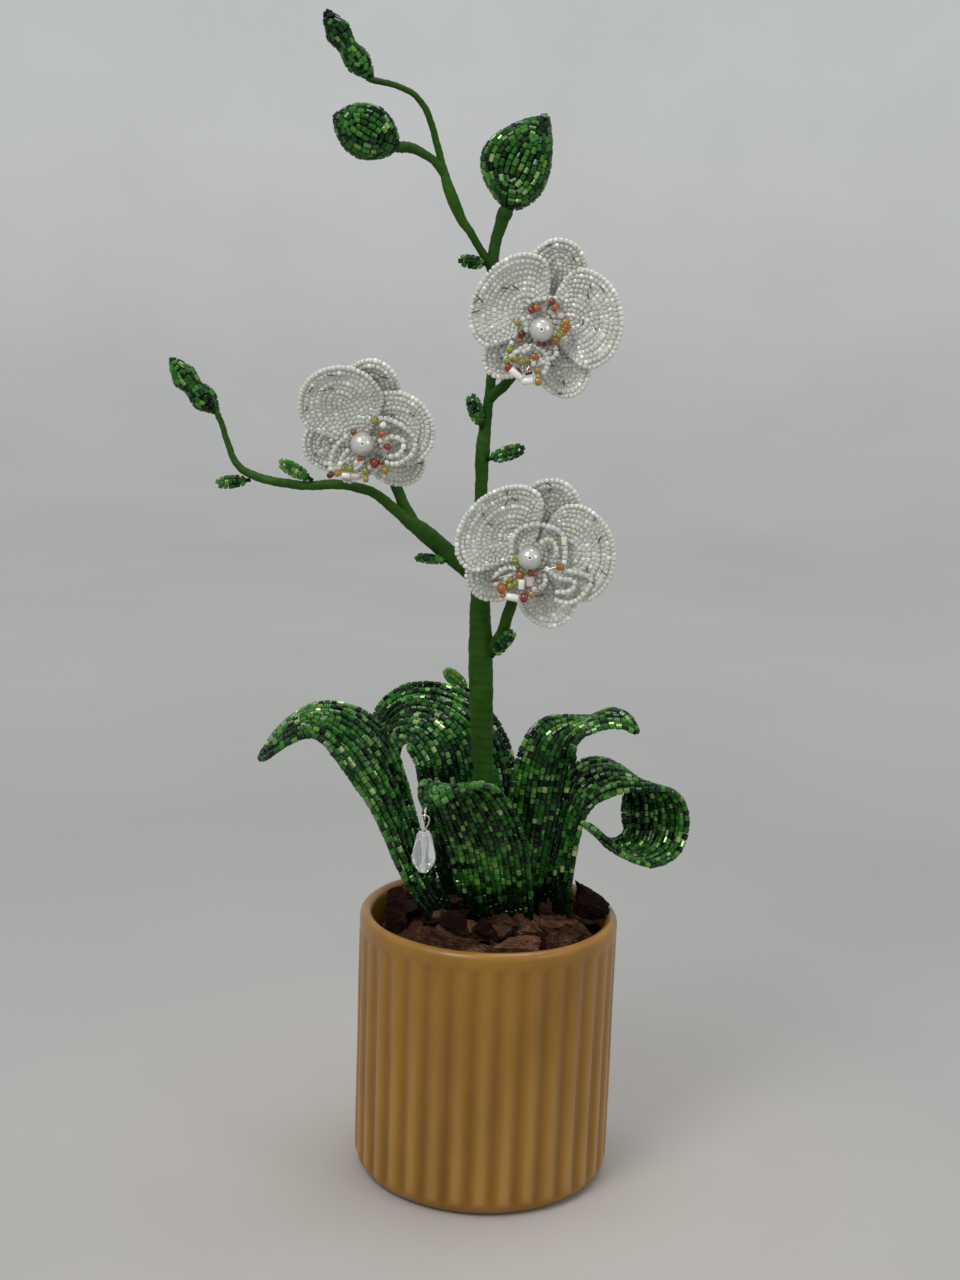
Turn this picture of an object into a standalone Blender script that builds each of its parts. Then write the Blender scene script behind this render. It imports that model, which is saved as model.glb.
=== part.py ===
"""Beaded orchid in a fluted ceramic pot.

Frame: origin at the centre of the pot's underside, +Z up, -Y the front of the
plant (the side its flowers face), +X to the right of someone facing the front.
Lengths below are millimetres; the model is built in metres.
"""
import bpy
import bmesh
import math
import random
from mathutils import Vector

MM = 0.001
GAP = 0.3                     # clearance kept between touching pieces

# ---- pot -------------------------------------------------------------------
POT_H = 96.0
POT_R = 46.0                  # over the crests of the flutes
POT_WALL = 4.5
POT_FLOOR = 8.0
FLUTES = 34
FLUTE_DEPTH = 1.0
RIM_BAND = 4.0                # plain band above the flutes
FILL_TOP = 84.0               # top of the block that holds the stem
STEM_SOCKET_R = 4.8
STEM_SOCKET_DEPTH = 26.0

# ---- beadwork --------------------------------------------------------------
LEAF_T = 1.8                  # a beaded leaf is one bead thick
PETAL_T = 1.2
# overlapping petals and sepals stand one behind the other
LIFT = {"sepal_left": -2.6, "sepal_right": -0.8, "sepal_top": 0.4, "petal_right": 3.0, "petal_left": 4.8}
FLOWER_CUP = 6.5              # how far a petal's edge comes forward
PEARL_R = 4.0

# ---- stems: x, y, z, radius --------------------------------------------------
MAIN_STEM = [(-2, 0, 59, 3.4), (-2.5, 0, 97, 3.5), (-3.5, 0, 142, 3.5), (-4.5, 0, 157, 3.8),
             (-6, 0, 185, 4.3), (-7, 0, 207, 3.5), (-7.5, 1, 222, 2.9), (-8, 2, 245, 2.2),
             (-8, 2, 260, 2.5), (-7, 1, 272, 1.8), (-6, 0, 284, 1.7), (-5.5, 2, 297, 1.8),
             (-6, 3, 310, 1.9), (-6.8, 2.5, 323, 2.0), (-6, 2.5, 330, 1.9), (-4.4, 1, 336, 2.2),
             (-3.2, 0, 339.4, 2.5)]
LEFT_BRANCH = [(-15.2, -2, 221.6, 2.9), (-21.5, -3, 227, 3.1), (-27, -4, 231.5, 3.0),
               (-33, -5, 236, 2.3), (-38, -5.5, 240, 1.9), (-44, -6, 244.5, 1.7), (-51, -6, 246.6, 1.7),
               (-58, -6, 247.2, 1.7), (-66, -5, 246.3, 1.6), (-73, -4, 246.5, 1.6), (-82, -2, 247.6, 1.5),
               (-88.5, 0, 249.6, 1.4), (-92.5, 1, 253, 1.2), (-95, 2, 258.5, 1.1), (-97.3, 3, 265, 1.0),
               (-98.8, 3, 268.6, 1.0)]
LEFT_FLOWER_STALK = [(-36, -3.4, 244.6, 1.9), (-38.6, -3, 250.5, 2.0), (-42, -3, 256, 1.9),
                     (-45.8, -4, 260, 1.7), (-48, -6.6, 262, 1.5)]
LOWER_STALK = [(0.9, -3.4, 197.5, 2.0), (3, -7, 206, 2.0), (6, -11, 216, 1.9), (9, -15, 225, 1.7),
               (9.8, -18.4, 229, 1.5)]
UPPER_STALK = [(-1.8, -4, 282, 1.8), (0.6, -7, 285.4, 1.8), (4.5, -9, 291, 1.8), (8.5, -10, 299, 1.6),
               (10.9, -11.2, 304.2, 1.4)]
TOP_LEFT_BRANCH = [(-11.2, 0.4, 326.8, 1.3), (-14.8, -1, 332.3, 1.4), (-18, -2, 336.7, 1.7),
                   (-20.7, -3, 342.4, 2.0), (-23, -3, 348, 1.7), (-24.6, -3, 353.5, 1.3),
                   (-26.6, -3, 360, 1.2), (-28.4, -3, 366, 1.1), (-30.8, -4, 371.3, 1.1),
                   (-34, -5, 375, 1.0), (-38.4, -6, 377.2, 1.0), (-43, -7, 378.4, 1.0), (-47.6, -7.9, 379, 1.0)]
ROUND_BUD_STALK = [(-28.4, -5, 355.4, 1.4), (-32.6, -6, 357.6, 1.6), (-36, -7, 358.5, 1.7),
                   (-38.8, -8, 358.3, 1.6)]

# ---- leaves: centre x, y, z, then the direction across the leaf --------------
LEAF_LEFT = [(-14.8, -6, 92, .36, .92, 0), (-17.4, -6.5, 99, .36, .92, 0), (-22.4, -7, 108, .35, .92, 0),
             (-27, -8, 119, .34, .93, .02), (-31.4, -9, 132, .36, .92, .06), (-36, -10, 143, .44, .87, .14),
             (-42.2, -11, 154, .5, .78, .34), (-49.4, -12, 162.3, .38, .82, .44),
             (-58, -13, 167, .14, .92, .36), (-66, -14, 167, 0, .95, .31),
             (-74, -15, 161.5, -.1, .94, .3), (-81, -16, 152, -.2, .93, .25)]
LEAF_BACK = [(-3, 13, 92, 1, .05, 0), (-3, 13.5, 99, 1, .05, 0), (-5, 15, 113, 1, .05, .02),
             (-7.5, 17, 130, 1, .12, .06), (-10.5, 19.5, 146, .93, .3, .2), (-16, 23, 155, .72, .5, .48),
             (-24.5, 27.5, 159.5, .25, .76, .6), (-32.5, 30.2, 159, -.05, .78, .62), (-38.3, 31.3, 154.6, -.3, .74, .62),
             (-40, 30.5, 147.2, -.6, .66, .42), (-37.6, 28.5, 139.5, -.8, .55, .2)]
LEAF_FRONT = [(4, -13, 92, 1, -.08, 0), (3, -14.5, 99, 1, -.08, 0), (1, -17.5, 112, 1, -.08, 0),
              (-2, -20.5, 126, 1, -.1, 0), (-7, -23, 138, 1, -.12, .03), (-11.5, -27.5, 147, .96, -.25, .08),
              (-15.5, -34, 150.5, .88, -.45, .1), (-19.5, -40, 149, .8, -.58, .08), (-22.6, -44, 145.6, .8, -.6, 0)]
LEAF_RIGHT_UP = [(12.5, 3.5, 92, 1, 0, 0), (12.8, 3.5, 99, 1, 0, 0), (14, 3, 117, 1, 0, 0),
                 (15.8, 2.5, 135, 1, -0.05, 0), (17.6, 2, 149, 0.99, -0.1, -0.1), (20.6, 2, 158, 0.86, -0.42, -0.28),
                 (26, 2, 163.2, 0.45, -0.86, -0.16), (33, 1.7, 166, 0.12, -0.98, -0.06), (39.5, 1, 168.2, 0.02, -0.95, -0.28),
                 (45.5, 0, 167, -0.05, -0.9, -0.42), (50, -1, 162.6, -0.1, -0.9, -0.42)]
LEAF_RIGHT_CURL = [(24.5, 1.5, 92, 0.3, -0.95, 0), (24.5, 2, 99, 0.3, -0.95, 0), (25, 3.5, 114, 0.3, -0.95, 0),
                   (27.2, 5.5, 130, 0.25, -0.96, -0.1), (31.5, 7.5, 140.5, 0.18, -0.92, -0.32), (39, 9.5, 145, 0.25, -0.92, -0.26),
                   (48.5, 11.5, 144, 0.4, -0.88, -0.16), (57, 13, 138, 0.74, -0.66, -0.08), (59.3, 12.5, 128, 0.92, -0.4, 0),
                   (57.8, 10, 119.7, 0.84, -0.52, -0.12), (51.5, 5, 117, 0.6, -0.74, -0.2), (44.5, -0.5, 119.6, 0.44, -0.86, -0.1),
                   (38, -6, 126.2, 0.5, -0.8, -0.1), (32.2, -11, 133, 0.55, -0.78, -0.1)]

# ---- little two-loop leaflets: base, tip, half width -------------------------
LEAFLETS = {
    "leaflet_top": ((-10.6, -0.6, 322.2), (-18.4, -2, 323.3), 2.4),
    "leaflet_upper_left": ((-9.4, -1, 269.6), (-12.8, -3, 279), 2.8),
    "leaflet_upper_right": ((-4.2, -0.6, 257.6), (6.4, -3, 261.6), 2.7),
    "leaflet_lower_right": ((-1.0, -5.4, 191.0), (5, -8, 199.5), 2.5),
    "leaflet_lower_left": ((-11.6, -1.6, 177.4), (-18.6, -5, 184.3), 2.6),
    "leaflet_branch_under": ((-20.0, -4.2, 222.2), (-30, -7, 223.4), 1.9),
    "leaflet_branch_mid": ((-67.2, -6.6, 249.4), (-76.6, -8.4, 254.6), 2.5),
    "leaflet_branch_end": ((-89.4, 0.2, 246.6), (-98.6, -2, 245.6), 2.4),
}

# ---- buds: base, tip, half width, half depth, profile, sideways bow ------------
BUDS = {
    "bud_top": ((-48.2, -8.1, 379.5), (-63.2, -10, 399.6), 4.7, 3.8, "double", 0.6),
    "bud_round": ((-39.3, -8.1, 358.4), (-59.4, -10, 367.2), 9.0, 6.6, "round", 0),
    "bud_large": ((-2.9, -0.1, 340.4), (9.2, -2, 370.4), 12.6, 7.8, "drop", 3.2),
    "bud_left": ((-99.0, 3.0, 269.2), (-114.8, 3, 286.4), 4.9, 3.9, "double", 0.4),
}

# ---- flowers: where the petals meet, the facing, then angle, length, half width
FLOWERS = {
    "flower_top": dict(centre=(11.0, -16.0, 304.8), face=(-.10, -1, -.14), pearl=(-0.4, -1.5, 10.0),
                       back=dict(sepal_top=(77, 28.5, 10.5), sepal_right=(-66, 27, 10), sepal_left=(224, 26, 9)),
                       front=dict(petal_left=(146, 25, 17.5), petal_right=(8, 26.5, 16.5)), lip=(-6, 1)),
    "flower_left": dict(centre=(-48.3, -10.0, 262.8), face=(-.05, -1, -.2), pearl=(1.1, 1.7, 10.0),
                        back=dict(sepal_top=(80, 31, 11), sepal_right=(-25, 23.5, 10), sepal_left=(190, 21, 10)),
                        front=dict(petal_left=(113, 30, 14.5), petal_right=(27, 27, 13.5)), lip=(-5, 0)),
    "flower_low": dict(centre=(9.8, -22.0, 229.4), face=(-.08, -1, -.12), pearl=(-0.3, 0.1, 10.0),
                       back=dict(sepal_top=(70, 28, 11), sepal_right=(-68, 27, 11), sepal_left=(214, 25.5, 10.5)),
                       front=dict(petal_left=(139, 26.5, 18), petal_right=(6, 28.5, 17)), lip=(-4, 1)),
}

# ---- bark chips: centre, size, turn about Z ------------------------------------
BARK = {
    "bark_left": ((-32.6, -12.0, 95.4), (8.5, 10, 22), 20),
    "bark_front_left": ((-14.5, -30, 91.0), (21, 12, 12.5), -18),
    "bark_front_mid": ((6.5, -32.5, 91.4), (18, 10, 13.5), 4),
    "bark_front_right": ((27, -23.2, 93.0), (12, 10, 17), 38),
    "bark_right": ((36.6, -0.5, 98.6), (11, 13, 13.5), 12),
    "bark_back_left": ((-25, 22, 89.8), (20, 13, 10.5), 42),
    "bark_back": ((-1, 32, 89.4), (20, 11, 9.5), -4),
    "bark_back_right": ((24, 24.5, 89.8), (19, 12, 10.5), -44),
}

# ---- crystal drop on its wire loop ----------------------------------------------
PIVOT = (-22.6, -46.6, 142.6)         # where the loop hangs from the leaf's wire eye
WIRE_R = 0.3
DROP_H = 14.2
DROP_R = 4.3
DROP_TOP = -3.9                       # top of the drop below the pivot


def clear_scene():
    for ob in list(bpy.data.objects):
        bpy.data.objects.remove(ob, do_unlink=True)


clear_scene()
COL = bpy.data.collections.new("beaded_orchid")
bpy.context.scene.collection.children.link(COL)
TOOLS = bpy.data.collections.new("cutters")
bpy.context.scene.collection.children.link(TOOLS)


def material(name, rgb, rough, metal=0.0, transmission=0.0):
    mat = bpy.data.materials.new(name)
    mat.use_nodes = True
    p = mat.node_tree.nodes["Principled BSDF"]
    p.inputs["Base Color"].default_value = (*rgb, 1)
    p.inputs["Roughness"].default_value = rough
    p.inputs["Metallic"].default_value = metal
    p.inputs["Transmission Weight"].default_value = transmission
    return mat


def look(name):
    """One material for each node, by what the piece is made of."""
    table = [
        ("pot", (0.24, 0.13, 0.035), 0.35, 0, 0),
        ("filler", (0.55, 0.52, 0.46), 0.9, 0, 0),
        ("bark", (0.075, 0.032, 0.022), 0.85, 0, 0),
        ("leaf", (0.02, 0.12, 0.03), 0.2, 0, 0),
        ("bud", (0.02, 0.14, 0.04), 0.2, 0, 0),
        ("stem", (0.04, 0.12, 0.02), 0.7, 0, 0),
        ("branch", (0.04, 0.12, 0.02), 0.7, 0, 0),
        ("stalk", (0.04, 0.12, 0.02), 0.7, 0, 0),
        ("sepal", (0.8, 0.82, 0.8), 0.15, 0, 0.3),
        ("petal", (0.8, 0.82, 0.8), 0.15, 0, 0.3),
        ("lip", (0.85, 0.7, 0.35), 0.2, 0, 0),
        ("pearl", (0.85, 0.83, 0.78), 0.15, 0, 0),
        ("drop_loop", (0.7, 0.7, 0.7), 0.25, 1, 0),
        ("drop_eye", (0.7, 0.7, 0.7), 0.25, 1, 0),
        ("crystal", (0.9, 0.92, 0.92), 0.05, 0, 0.8),
    ]
    for key, rgb, rough, metal, trans in table:
        if key in name:
            return material(name, rgb, rough, metal, trans)
    return material(name, (0.02, 0.12, 0.03), 0.3)


def add(name, data, col=None):
    ob = bpy.data.objects.new(name, data)
    (col or COL).objects.link(ob)
    if col is None:
        data.materials.append(look(name))
    return ob


def finish_mesh(name, bm, sharp=40):
    bmesh.ops.recalc_face_normals(bm, faces=bm.faces)
    me = bpy.data.meshes.new(name)
    bm.to_mesh(me)
    bm.free()
    me.shade_smooth()
    me.set_sharp_from_angle(angle=math.radians(sharp))
    return add(name, me)


def spline(rows, n):
    """Catmull-Rom through the rows, then n points at even steps along x, y, z."""
    rows = [list(map(float, r)) for r in rows]
    ext = [[2 * a - b for a, b in zip(rows[0], rows[1])]] + rows + \
          [[2 * a - b for a, b in zip(rows[-1], rows[-2])]]
    fine = []
    for i in range(1, len(ext) - 2):
        p0, p1, p2, p3 = ext[i - 1:i + 3]
        for k in range(12):
            t = k / 12
            fine.append([0.5 * (2 * b + (c - a) * t + (2 * a - 5 * b + 4 * c - d) * t * t
                                + (3 * b - a - 3 * c + d) * t ** 3) for a, b, c, d in zip(p0, p1, p2, p3)])
    fine.append(rows[-1])
    run = [0.0]
    for a, b in zip(fine, fine[1:]):
        run.append(run[-1] + math.dist(a[:3], b[:3]))
    out = []
    j = 0
    for k in range(n):
        want = run[-1] * k / (n - 1)
        while j < len(run) - 2 and run[j + 1] < want:
            j += 1
        t = (want - run[j]) / max(run[j + 1] - run[j], 1e-9)
        out.append([a + (b - a) * t for a, b in zip(fine[j], fine[j + 1])])
    return out, run[-1]


def tube(name, rows, n, cyclic=False):
    """A wire or stem: a round curve through x, y, z, radius."""
    cu = bpy.data.curves.new(name, 'CURVE')
    cu.dimensions = '3D'
    cu.bevel_depth = MM
    cu.bevel_resolution = 2
    cu.use_fill_caps = not cyclic
    sp = cu.splines.new('POLY')
    sp.points.add(n - 1)
    for p, (x, y, z, r) in zip(sp.points, rows):
        p.co = (x * MM, y * MM, z * MM, 1)
        p.radius = r
    sp.use_cyclic_u = cyclic
    sp.use_smooth = True
    return add(name, cu)


def stem(name, rows, n):
    pts, _ = spline(rows, n)
    return tube(name, pts, n)


def sheet(name, fn, nu, nv, thick):
    """A thin curved piece: a grid laid on fn(u, v) and given a thickness."""
    bm = bmesh.new()
    bmesh.ops.create_grid(bm, x_segments=nu, y_segments=nv, size=1.0)
    for v in bm.verts:
        v.co = fn((v.co.x + 1) / 2, v.co.y) * MM
    me = bpy.data.meshes.new(name)
    bm.to_mesh(me)
    bm.free()
    me.shade_smooth()
    ob = add(name, me)
    sol = ob.modifiers.new("thickness", 'SOLIDIFY')
    sol.thickness = thick * MM
    sol.offset = 0
    return ob


# ---- pot and what fills it -------------------------------------------------------

def turned(profile, steps):
    """Revolve (radius, z) pairs about Z into a closed bmesh; the ends lie on the axis."""
    bm = bmesh.new()
    verts = [bm.verts.new((r * MM, 0, z * MM)) for r, z in profile]
    edges = [bm.edges.new(e) for e in zip(verts, verts[1:])]
    bmesh.ops.spin(bm, geom=verts + edges, cent=(0, 0, 0), axis=(0, 0, 1), dvec=(0, 0, 0),
                   angle=2 * math.pi, steps=steps, use_merge=True, use_duplicate=False)
    bmesh.ops.remove_doubles(bm, verts=bm.verts, dist=0.00001)
    return bm


def build_pot():
    inner = POT_R - POT_WALL
    prof = [(0, POT_FLOOR), (inner - 4, POT_FLOOR), (inner - .6, POT_FLOOR + 3.4), (inner, POT_H - 3),
            (inner + .6, POT_H - 1), (inner + 2.25, POT_H), (POT_R - .6, POT_H - 1), (POT_R, POT_H - 2.6),
            (POT_R, POT_H - RIM_BAND), (POT_R, POT_H - RIM_BAND - 4), (POT_R, 7), (POT_R - .9, 3),
            (POT_R - 3, .6), (POT_R - 4.5, 0), (0, 0)]
    bm = turned(prof, FLUTES * 4)
    top, bottom = POT_H - RIM_BAND - 1, 2.0
    for v in bm.verts:
        r, z = math.hypot(v.co.x, v.co.y) / MM, v.co.z / MM
        if r < POT_R - 1.5 or not bottom < z < top:
            continue
        a = math.atan2(v.co.y, v.co.x)
        fade = min(1, (top - z) / 3) * min(1, (z - bottom) / 4)
        cut = FLUTE_DEPTH * fade * (0.5 - 0.5 * math.cos(FLUTES * a + math.pi))
        k = (r - cut) / r
        v.co.x *= k
        v.co.y *= k
    finish_mesh("pot", bm, 50)


def build_filler():
    r = POT_R - POT_WALL - .9
    prof = [(0, POT_FLOOR + GAP), (r - 5, POT_FLOOR + GAP), (r - .6, POT_FLOOR + 4.6), (r, FILL_TOP - 1),
            (r - 1, FILL_TOP), (STEM_SOCKET_R, FILL_TOP), (STEM_SOCKET_R, FILL_TOP - STEM_SOCKET_DEPTH),
            (0, FILL_TOP - STEM_SOCKET_DEPTH)]
    bm = turned(prof, 32)
    # the stem does not stand quite on the pot's axis
    for v in bm.verts:
        if math.hypot(v.co.x, v.co.y) / MM < STEM_SOCKET_R + .1 and v.co.z / MM > POT_FLOOR + 5:
            v.co.x += MAIN_STEM[0][0] * MM
    finish_mesh("filler_block", bm)


def build_bark():
    rng = random.Random(7)
    for name, (centre, size, turn) in BARK.items():
        bm = bmesh.new()
        bmesh.ops.create_icosphere(bm, subdivisions=2, radius=0.5)
        ca, sa = math.cos(math.radians(turn)), math.sin(math.radians(turn))
        for v in bm.verts:
            # push towards a block, then roughen
            c = v.co / max(abs(v.co.x), abs(v.co.y), abs(v.co.z)) * 0.5
            p = v.co.lerp(c, 0.45) * rng.uniform(0.86, 1.0)
            x, y, z = p.x * size[0], p.y * size[1], p.z * size[2]
            v.co = Vector((centre[0] + ca * x - sa * y, centre[1] + sa * x + ca * y,
                           max(centre[2] + z, FILL_TOP + GAP + .1))) * MM
        bmesh.ops.remove_doubles(bm, verts=bm.verts, dist=0.00002)
        finish_mesh(name, bm, 30)


# ---- leaves ------------------------------------------------------------------------

def leaf_width(t, base=0.6, widest=0.45):
    if t < widest:
        return base + (1 - base) * math.sin(math.pi / 2 * t / widest)
    k = min((t - widest) / (1 - widest), 0.985)
    return (1 - k ** 2.6) ** 0.62


def leaf(name, stations, half, nu=14, nv=4, cup=0.22, base=0.6):
    pts, _ = spline(stations, 61)

    def fn(u, v):
        x = u * 60
        i = min(int(x), 59)
        f = x - i
        row = [a + (b - a) * f for a, b in zip(pts[i], pts[i + 1])]
        tan = (Vector(pts[min(i + 2, 60)][:3]) - Vector(pts[max(i - 1, 0)][:3])).normalized()
        across = Vector(row[3:])
        across = (across - across.dot(tan) * tan).normalized()
        up = across.cross(tan)
        w = half * leaf_width(u, base)
        return Vector(row[:3]) + across * (v * w) + up * (cup * w * v * v)

    return sheet(name, fn, nu, nv, LEAF_T)


def build_leaves():
    leaf("leaf_left", LEAF_LEFT, 13.5, cup=-0.2)
    leaf("leaf_back", LEAF_BACK, 18.5, cup=-0.12, base=0.84)
    leaf("leaf_front", LEAF_FRONT, 14.0, cup=-0.14, base=0.84)
    leaf("leaf_right_up", LEAF_RIGHT_UP, 10.5, cup=-0.2, base=0.72)
    leaf("leaf_right_curl", LEAF_RIGHT_CURL, 13.5, nu=18, cup=-0.12, base=0.66)


def oval(name, base, tip, half, depth, shape, segs, rings, bow=0.0):
    """A bud or leaflet: a sphere drawn out from base to tip."""
    bm = bmesh.new()
    bmesh.ops.create_uvsphere(bm, u_segments=segs, v_segments=rings, radius=1.0)
    a, b = Vector(base), Vector(tip)
    axis = (b - a).normalized()
    side = Vector((0, 1, 0)).cross(axis).normalized()
    front = axis.cross(side)
    for v in bm.verts:
        t = (v.co.z + 1) / 2
        r = math.hypot(v.co.x, v.co.y)
        k = r / max(math.sqrt(max(1 - v.co.z ** 2, 0)), 1e-6) if r > 1e-6 else 0
        if shape == "double":
            g = math.sin(math.pi * t) ** 0.45 * (0.86 - 0.2 * math.cos(4 * math.pi * t) * (1 if t < .75 else .3))
        elif shape == "drop":
            g = math.sin(math.pi * t ** 0.82) ** 0.8 * (1 - 0.12 * t)
        else:
            g = math.sin(math.pi * t) ** 0.6
        g *= k
        dx, dy = (v.co.x / r, v.co.y / r) if r > 1e-6 else (0, 0)
        v.co = (a + (b - a) * t + side * (dx * g * half - bow * math.sin(math.pi * t))
                + front * (dy * g * depth)) * MM
    bmesh.ops.remove_doubles(bm, verts=bm.verts, dist=0.00001)
    finish_mesh(name, bm, 60)


# ---- flowers -------------------------------------------------------------------------

def flower_frame(spec):
    n = Vector(spec["face"]).normalized()
    up = (Vector((0, 0, 1)) - n.z * n).normalized()
    return Vector(spec["centre"]), n, up, up.cross(n)


def petal_width(s, length, half, root=2.0):
    c = 0.52 * length
    if s < c:
        return root + (half - root) * math.sin(math.pi / 2 * s / c) ** 1.35
    return half * math.sqrt(max(1 - ((s - c) / (length - c)) ** 2, 0))


def petal(name, spec, angle, length, half, lift, start):
    o, n, up, right = flower_frame(spec)
    a = math.radians(angle)
    along = right * math.cos(a) + up * math.sin(a)
    across = n.cross(along)

    def fn(u, v):
        s = start + (length * 0.975 - start) * u
        w = v * petal_width(s, length, half)
        d = math.hypot(s, w)
        return o + along * s + across * w + n * (lift + FLOWER_CUP * (d / 27) ** 2)

    sheet(name, fn, 6, 6, PETAL_T)


def build_flowers():
    for fl, spec in FLOWERS.items():
        o, n, up, right = flower_frame(spec)
        for part, (ang, length, half) in spec["back"].items():
            petal(f"{fl}_{part}", spec, ang, length, half, LIFT[part], 3.6)
        for part, (ang, length, half) in spec["front"].items():
            petal(f"{fl}_{part}", spec, ang, length, half, LIFT[part], 3.2)
        px, pz, pn = spec["pearl"]
        bm = bmesh.new()
        bmesh.ops.create_uvsphere(bm, u_segments=14, v_segments=9, radius=PEARL_R * MM)
        c = o + right * px + up * pz + n * pn
        bmesh.ops.translate(bm, verts=bm.verts, vec=c * MM)
        finish_mesh(f"{fl}_pearl", bm, 60)
        lx, ln = spec["lip"]

        def lip(u, v, o=o, n=n, up=up, right=right, px=px, pz=pz, lx=lx, ln=ln):
            drop = pz - PEARL_R - 1.6 - 10 * u
            w = (4.2 + 3.0 * math.sin(math.pi * min(u * 1.25, 1))) * v
            return o + right * (px + lx * u + w) + up * (drop + 1.2 * v * v) + \
                n * (8.2 + ln * u + 3.0 * v * v)

        sheet(f"{fl}_lip", lip, 5, 5, PETAL_T)


# ---- crystal drop ----------------------------------------------------------------------

def build_drop():
    px, py, pz = PIVOT
    prof = [(0, DROP_TOP - 4.2), (.65, DROP_TOP - 4.2), (.65, DROP_TOP), (1.8, DROP_TOP), (2.3, DROP_TOP - .7),
            (DROP_R, DROP_TOP - 8.4), (DROP_R - .5, DROP_TOP - 11), (DROP_R * .42, DROP_TOP - DROP_H + .5),
            (0, DROP_TOP - DROP_H)]
    bm = turned(prof, 8)
    bmesh.ops.translate(bm, verts=bm.verts, vec=Vector(PIVOT) * MM)
    finish_mesh("crystal_drop", bm, 5)
    # the loop: a stem in the drop's hole, opening into a long eye round the pivot
    rows = [(0, DROP_TOP - 3.6), (0, DROP_TOP - 1.2), (-.05, DROP_TOP + .7), (-.55, DROP_TOP + 1.7),
            (-1.35, -1.1)]
    rows += [(1.5 * math.cos(math.radians(a)), 1.5 * math.sin(math.radians(a))) for a in range(195, -31, -25)]
    rows += [(1.2, -1.5), (.9, -2.2)]
    pts, _ = spline([(px + x, py, pz + z, WIRE_R) for x, z in rows], 34)
    tube("drop_loop", pts, 34)
    # the eye on the leaf's tip: a small ring across the loop, open at the top
    rows = [(1.1 * math.sin(math.radians(a)), 1.1 - 1.1 * math.cos(math.radians(a)))
            for a in range(-150, 151, 20)]
    pts, _ = spline([(px, py + y, pz + z, WIRE_R) for y, z in rows], 20)
    tube("drop_eye", pts, 20)


def main():
    build_pot()
    build_filler()
    build_bark()
    stem("main_stem", MAIN_STEM, 34)
    stem("left_branch", LEFT_BRANCH, 26)
    stem("left_flower_stalk", LEFT_FLOWER_STALK, 9)
    stem("lower_flower_stalk", LOWER_STALK, 11)
    stem("upper_flower_stalk", UPPER_STALK, 10)
    stem("top_left_branch", TOP_LEFT_BRANCH, 22)
    stem("round_bud_stalk", ROUND_BUD_STALK, 6)
    build_leaves()
    for name, (base, tip, half) in LEAFLETS.items():
        oval(name, base, tip, half, 1.3, "round", 8, 5)
    for name, (base, tip, half, depth, shape, bow) in BUDS.items():
        oval(name, base, tip, half, depth, shape, 12, 10, bow)
    build_flowers()
    build_drop()


main()
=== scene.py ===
"""Beaded orchid in a fluted pot: the detailed visual model on its CAD frame.

Lengths in the tables are millimetres in the frame's own axes; meshes are metres.
"""
import bpy
import bmesh
import math
import random
import numpy as np
from mathutils import Matrix, Vector, noise


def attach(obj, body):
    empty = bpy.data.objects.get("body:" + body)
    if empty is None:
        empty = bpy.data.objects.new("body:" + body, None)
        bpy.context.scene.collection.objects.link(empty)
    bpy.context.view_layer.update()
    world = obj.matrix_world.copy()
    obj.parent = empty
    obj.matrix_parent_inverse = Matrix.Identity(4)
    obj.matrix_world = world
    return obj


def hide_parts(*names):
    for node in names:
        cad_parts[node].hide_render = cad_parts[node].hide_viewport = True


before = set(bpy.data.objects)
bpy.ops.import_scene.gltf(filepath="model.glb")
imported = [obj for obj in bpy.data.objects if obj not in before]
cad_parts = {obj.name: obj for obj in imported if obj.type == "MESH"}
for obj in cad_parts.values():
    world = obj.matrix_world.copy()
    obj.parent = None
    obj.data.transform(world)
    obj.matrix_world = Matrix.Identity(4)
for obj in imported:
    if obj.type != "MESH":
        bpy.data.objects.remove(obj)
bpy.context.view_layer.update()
MM = 0.001

# ---- the CAD model's driving tables, repeated ---------------------------------
POT_H, POT_R, POT_WALL, POT_FLOOR = 96.0, 46.0, 4.5, 8.0
FLUTES, FLUTE_DEPTH, RIM_BAND, FILL_TOP = 34, 1.0, 4.0, 84.0
LIFT = {"sepal_left": -2.6, "sepal_right": -0.8, "sepal_top": 0.4, "petal_right": 3.0, "petal_left": 4.8}
FLOWER_CUP = 6.5
PEARL_R = 4.0
PIVOT = (-22.6, -46.6, 142.6)
WIRE_R = 0.3
DROP_H, DROP_R, DROP_TOP = 14.2, 4.3, -3.9

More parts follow.
